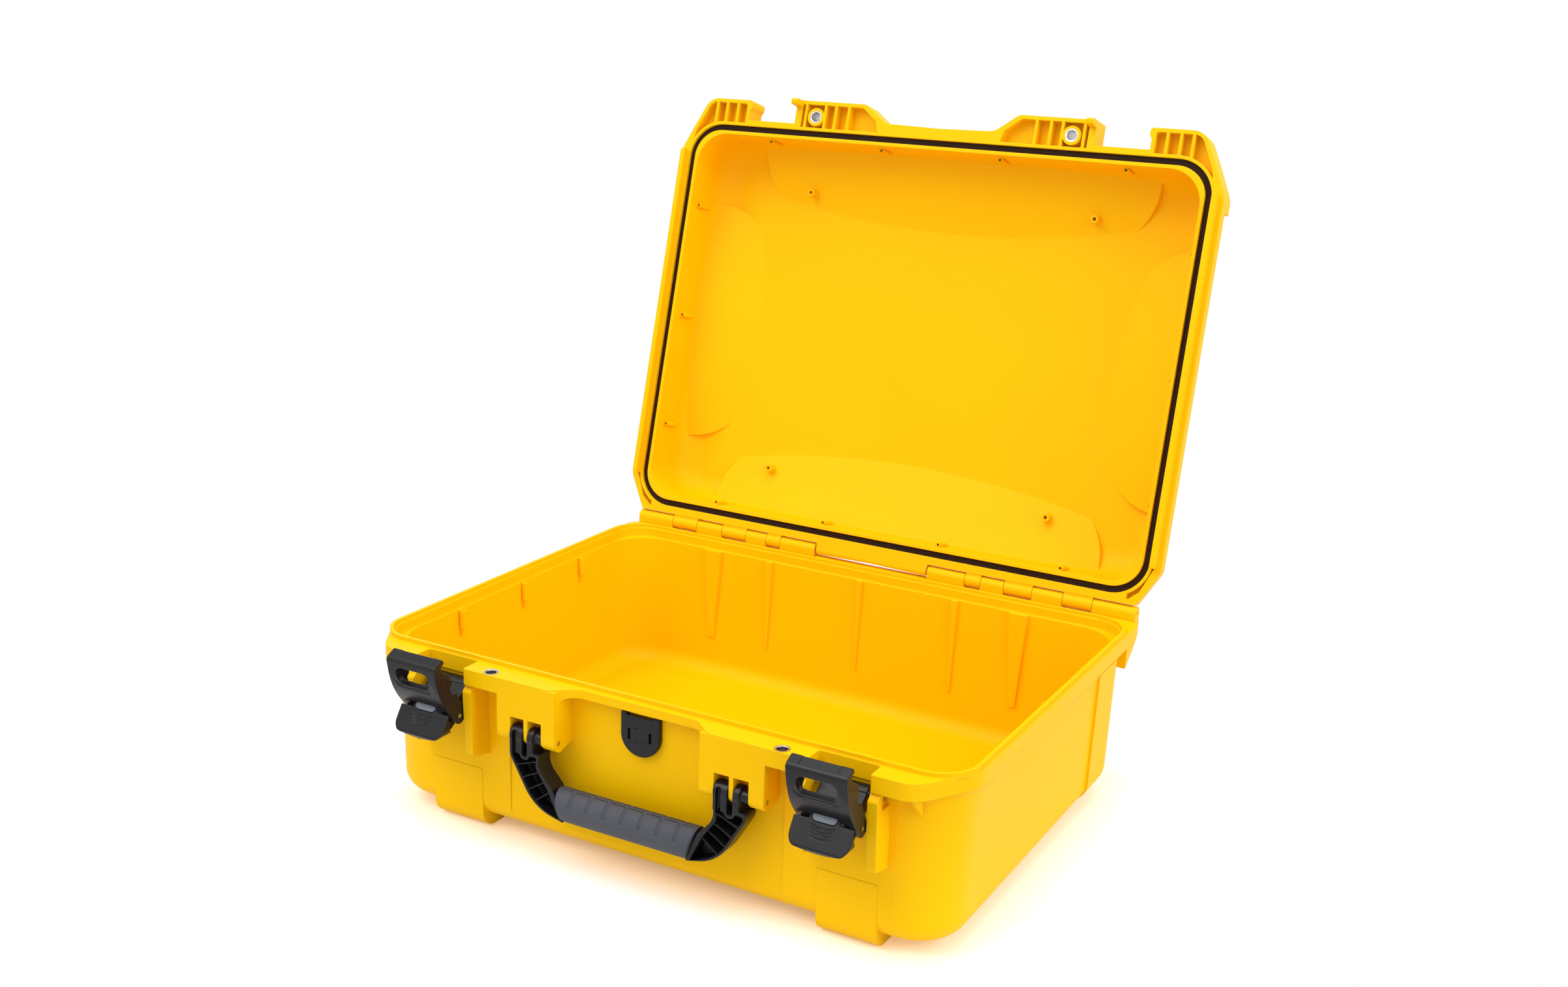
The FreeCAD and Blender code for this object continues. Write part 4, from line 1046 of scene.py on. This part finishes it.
@dataclass
class Studio:
    """Pale floor, white surround and soft lamps.

    Attributes:
        floor_half: half of the floor's side.
        floor_drop: how far the floor lies under the feet.
        floor_colour: colour of the floor.
        footprint: half sides of the case's footprint.
        near_lift: painted warm bounce light on the floor beside the case, a glow that only the camera sees.
        far_lift: painted cool glow further out, which balances the real warm bounce.
        lift_reach: distance over which the first turns into the second.
        fade_start: distance from the footprint where the floor starts to fade.
        fade_end: distance where it has faded into the surround.
        ambient: strength of the surround as a light.
        lamps: the soft lamps.
    """

    floor_half: float = 3.0
    floor_drop: float = 0.2 * MM
    floor_colour: Colour = (0.93, 0.93, 0.93)
    footprint: tuple[float, float] = (0.225, 0.165)
    near_lift: Colour = (0.40, 0.24, 0.12)
    far_lift: Colour = (0.20, 0.25, 0.36)
    lift_reach: float = 0.05
    fade_start: float = 0.05
    fade_end: float = 0.18
    ambient: float = 0.77
    lamps: tuple[Softbox, ...] = field(
        default=(
            Softbox("key_softbox", (-1.0, -1.7, 2.4), (0.0, 0.0, 0.2), (1.8, 1.6), 29.0),
            Softbox("side_softbox", (2.2, -0.2, 1.3), (0.1, 0.0, 0.15), (1.4, 1.6), 22.0),
            Softbox("top_softbox", (0.0, -0.2, 2.6), (0.0, 0.0, 0.0), (2.0, 1.8), 20.0),
        )
    )

    def build(self) -> None:
        """Build the surround, the floor and the lamps."""
        self._surround()
        self._floor()
        for lamp in self.lamps:
            lamp.build()
        bpy.context.scene.view_settings.view_transform = "Standard"

    def _surround(self) -> None:
        """White surround for the camera and reflections, softer as a light."""
        world = bpy.data.worlds.new("white_surround")
        bpy.context.scene.world = world
        world.use_nodes = True
        world.node_tree.nodes.clear()
        graph = Graph(world.node_tree)
        path = graph.add("ShaderNodeLightPath")
        seen = graph.math("MAXIMUM", path.outputs["Is Camera Ray"], path.outputs["Is Transmission Ray"])
        seen = graph.math("MAXIMUM", seen, path.outputs["Is Glossy Ray"])
        back = graph.add("ShaderNodeBackground")
        back.inputs["Color"].default_value = (1.0, 1.0, 1.0, 1.0)
        graph.feed(graph.ramp(seen, 0.0, 1.0, self.ambient, 1.0), back.inputs["Strength"])
        out = graph.add("ShaderNodeOutputWorld")
        graph.feed(back.outputs[0], out.inputs["Surface"])

    def _floor(self) -> None:
        """Pale floor with a painted glow, warm beside the case, that fades into the surround and keeps the
        case's shadow.
        """
        deselect_all()
        bpy.ops.mesh.primitive_plane_add(size=2 * self.floor_half, location=(0.0, 0.0, -self.floor_drop))
        floor = bpy.context.object
        floor.name = "studio_floor"
        bpy.ops.object.transform_apply(location=True, rotation=True, scale=True)
        material, graph = blank_material("studio_floor")
        place = graph.add("ShaderNodeTexCoord").outputs["Object"]
        away = self._away(graph, place)
        gone = graph.ramp(away, self.fade_start, self.fade_end)
        plain = graph.add("ShaderNodeBsdfDiffuse")
        plain.inputs["Color"].default_value = (*self.floor_colour, 1.0)
        # Painted light: a glow that only the camera sees, painted warm bounce beside the case and cooler
        # further out.
        painted_glow = graph.add("ShaderNodeEmission")
        share = graph.ramp(away, 0.0, self.lift_reach)
        graph.feed(graph.mix(share, self.near_lift, self.far_lift), painted_glow.inputs["Color"])
        graph.feed(graph.add("ShaderNodeLightPath").outputs["Is Camera Ray"], painted_glow.inputs["Strength"])
        lit = graph.add("ShaderNodeAddShader")
        graph.feed(plain.outputs[0], lit.inputs[0])
        graph.feed(painted_glow.outputs[0], lit.inputs[1])
        clear = graph.add("ShaderNodeBsdfTransparent")
        mixed = graph.add("ShaderNodeMixShader")
        graph.feed(gone, mixed.inputs[0])
        graph.feed(lit.outputs[0], mixed.inputs[1])
        graph.feed(clear.outputs[0], mixed.inputs[2])
        out = graph.add("ShaderNodeOutputMaterial")
        graph.feed(mixed.outputs[0], out.inputs["Surface"])
        floor.data.materials.append(material)

    def _away(self, graph: Graph, place: bpy.types.NodeSocket) -> bpy.types.NodeSocket:
        """Measure the distance from the case's footprint.

        Args:
            graph: the floor's graph.
            place: the socket of the place on the floor.

        Returns:
            The distance's socket.
        """
        steps = (("ABSOLUTE", None), ("SUBTRACT", (*self.footprint, 0.0)), ("MAXIMUM", (0.0, 0.0, 0.0)))
        for operation, value in steps:
            node = graph.add("ShaderNodeVectorMath", {"operation": operation})
            graph.feed(place, node.inputs[0])
            if value is not None:
                node.inputs[1].default_value = value
            place = node.outputs["Vector"]
        length = graph.add("ShaderNodeVectorMath", {"operation": "LENGTH"})
        graph.feed(place, length.inputs[0])
        return length.outputs["Value"]


BOLD_EDGES = SoftEdges(skin=0.32 * MM, passes=9, keep=0.3)
FINE_EDGES = SoftEdges(skin=0.16 * MM, passes=6, keep=0.3)


class Mouldings:
    """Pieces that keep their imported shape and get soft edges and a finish."""

    plan: tuple[tuple[str, Slot, SoftEdges], ...] = (
        ("handle_frame", Slot.BLACK, BOLD_EDGES),
        ("vent_cover", Slot.BLACK, FINE_EDGES),
    )
    sided: tuple[tuple[str, Slot, SoftEdges], ...] = (
        ("latch_claw", Slot.BLACK, BOLD_EDGES),
        ("latch_lever", Slot.BLACK, BOLD_EDGES),
        ("latch_button", Slot.BUTTON, FINE_EDGES),
    )

    def build(self, finishes: Finishes) -> None:
        """Build every piece.

        Args:
            finishes: the materials.
        """
        rows = list(self.plan)
        for node, slot, edges in self.sided:
            rows += [(f"{node}_{side.word}", slot, edges) for side in Side]
        for node, slot, edges in rows:
            obj = SoftMoulding(node, f"{node}_moulded", edges).build()
            finishes.complete(obj, slot)


KEPT_SLOTS: dict[str, Slot] = {
    "base_shell": Slot.SHELL,
    "lid_shell": Slot.SHELL,
    "lid_gasket": Slot.GASKET,
    "vent_membrane": Slot.MEMBRANE,
    "vent_seal": Slot.GASKET,
    "vent_nut": Slot.BLACK,
    "hinge_pin": Slot.STEEL,
    "handle_pin": Slot.STEEL,
    "base_eyelet": Slot.STEEL,
    "lid_eyelet": Slot.STEEL,
    "latch_pivot_pin": Slot.STEEL,
    "claw_pin": Slot.STEEL,
}


def dress_kept_nodes(finishes: Finishes) -> None:
    """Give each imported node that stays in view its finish.

    Args:
        finishes: the materials.
    """
    for name, node in frame["nodes"].items():
        if node.hide_render:
            continue
        stem = name.removesuffix("_right").removesuffix("_left")
        finishes.dress(node, KEPT_SLOTS[stem])
        LOG.info("%s keeps its packed shape", name)


def main() -> None:
    """Build the looks of the case in order."""
    logging.basicConfig(level=logging.INFO, format="%(name)s: %(message)s")
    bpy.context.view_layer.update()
    finishes = Finishes()
    PhotoCamera().build()
    Studio().build()
    Mouldings().build(finishes)
    finishes.complete(CarryGrip().build(), Slot.GRIP)
    for side in Side:
        finishes.complete(ButtonSpring(side).build(), Slot.STEEL)
    dress_kept_nodes(finishes)


if __name__ == "__main__":
    main()
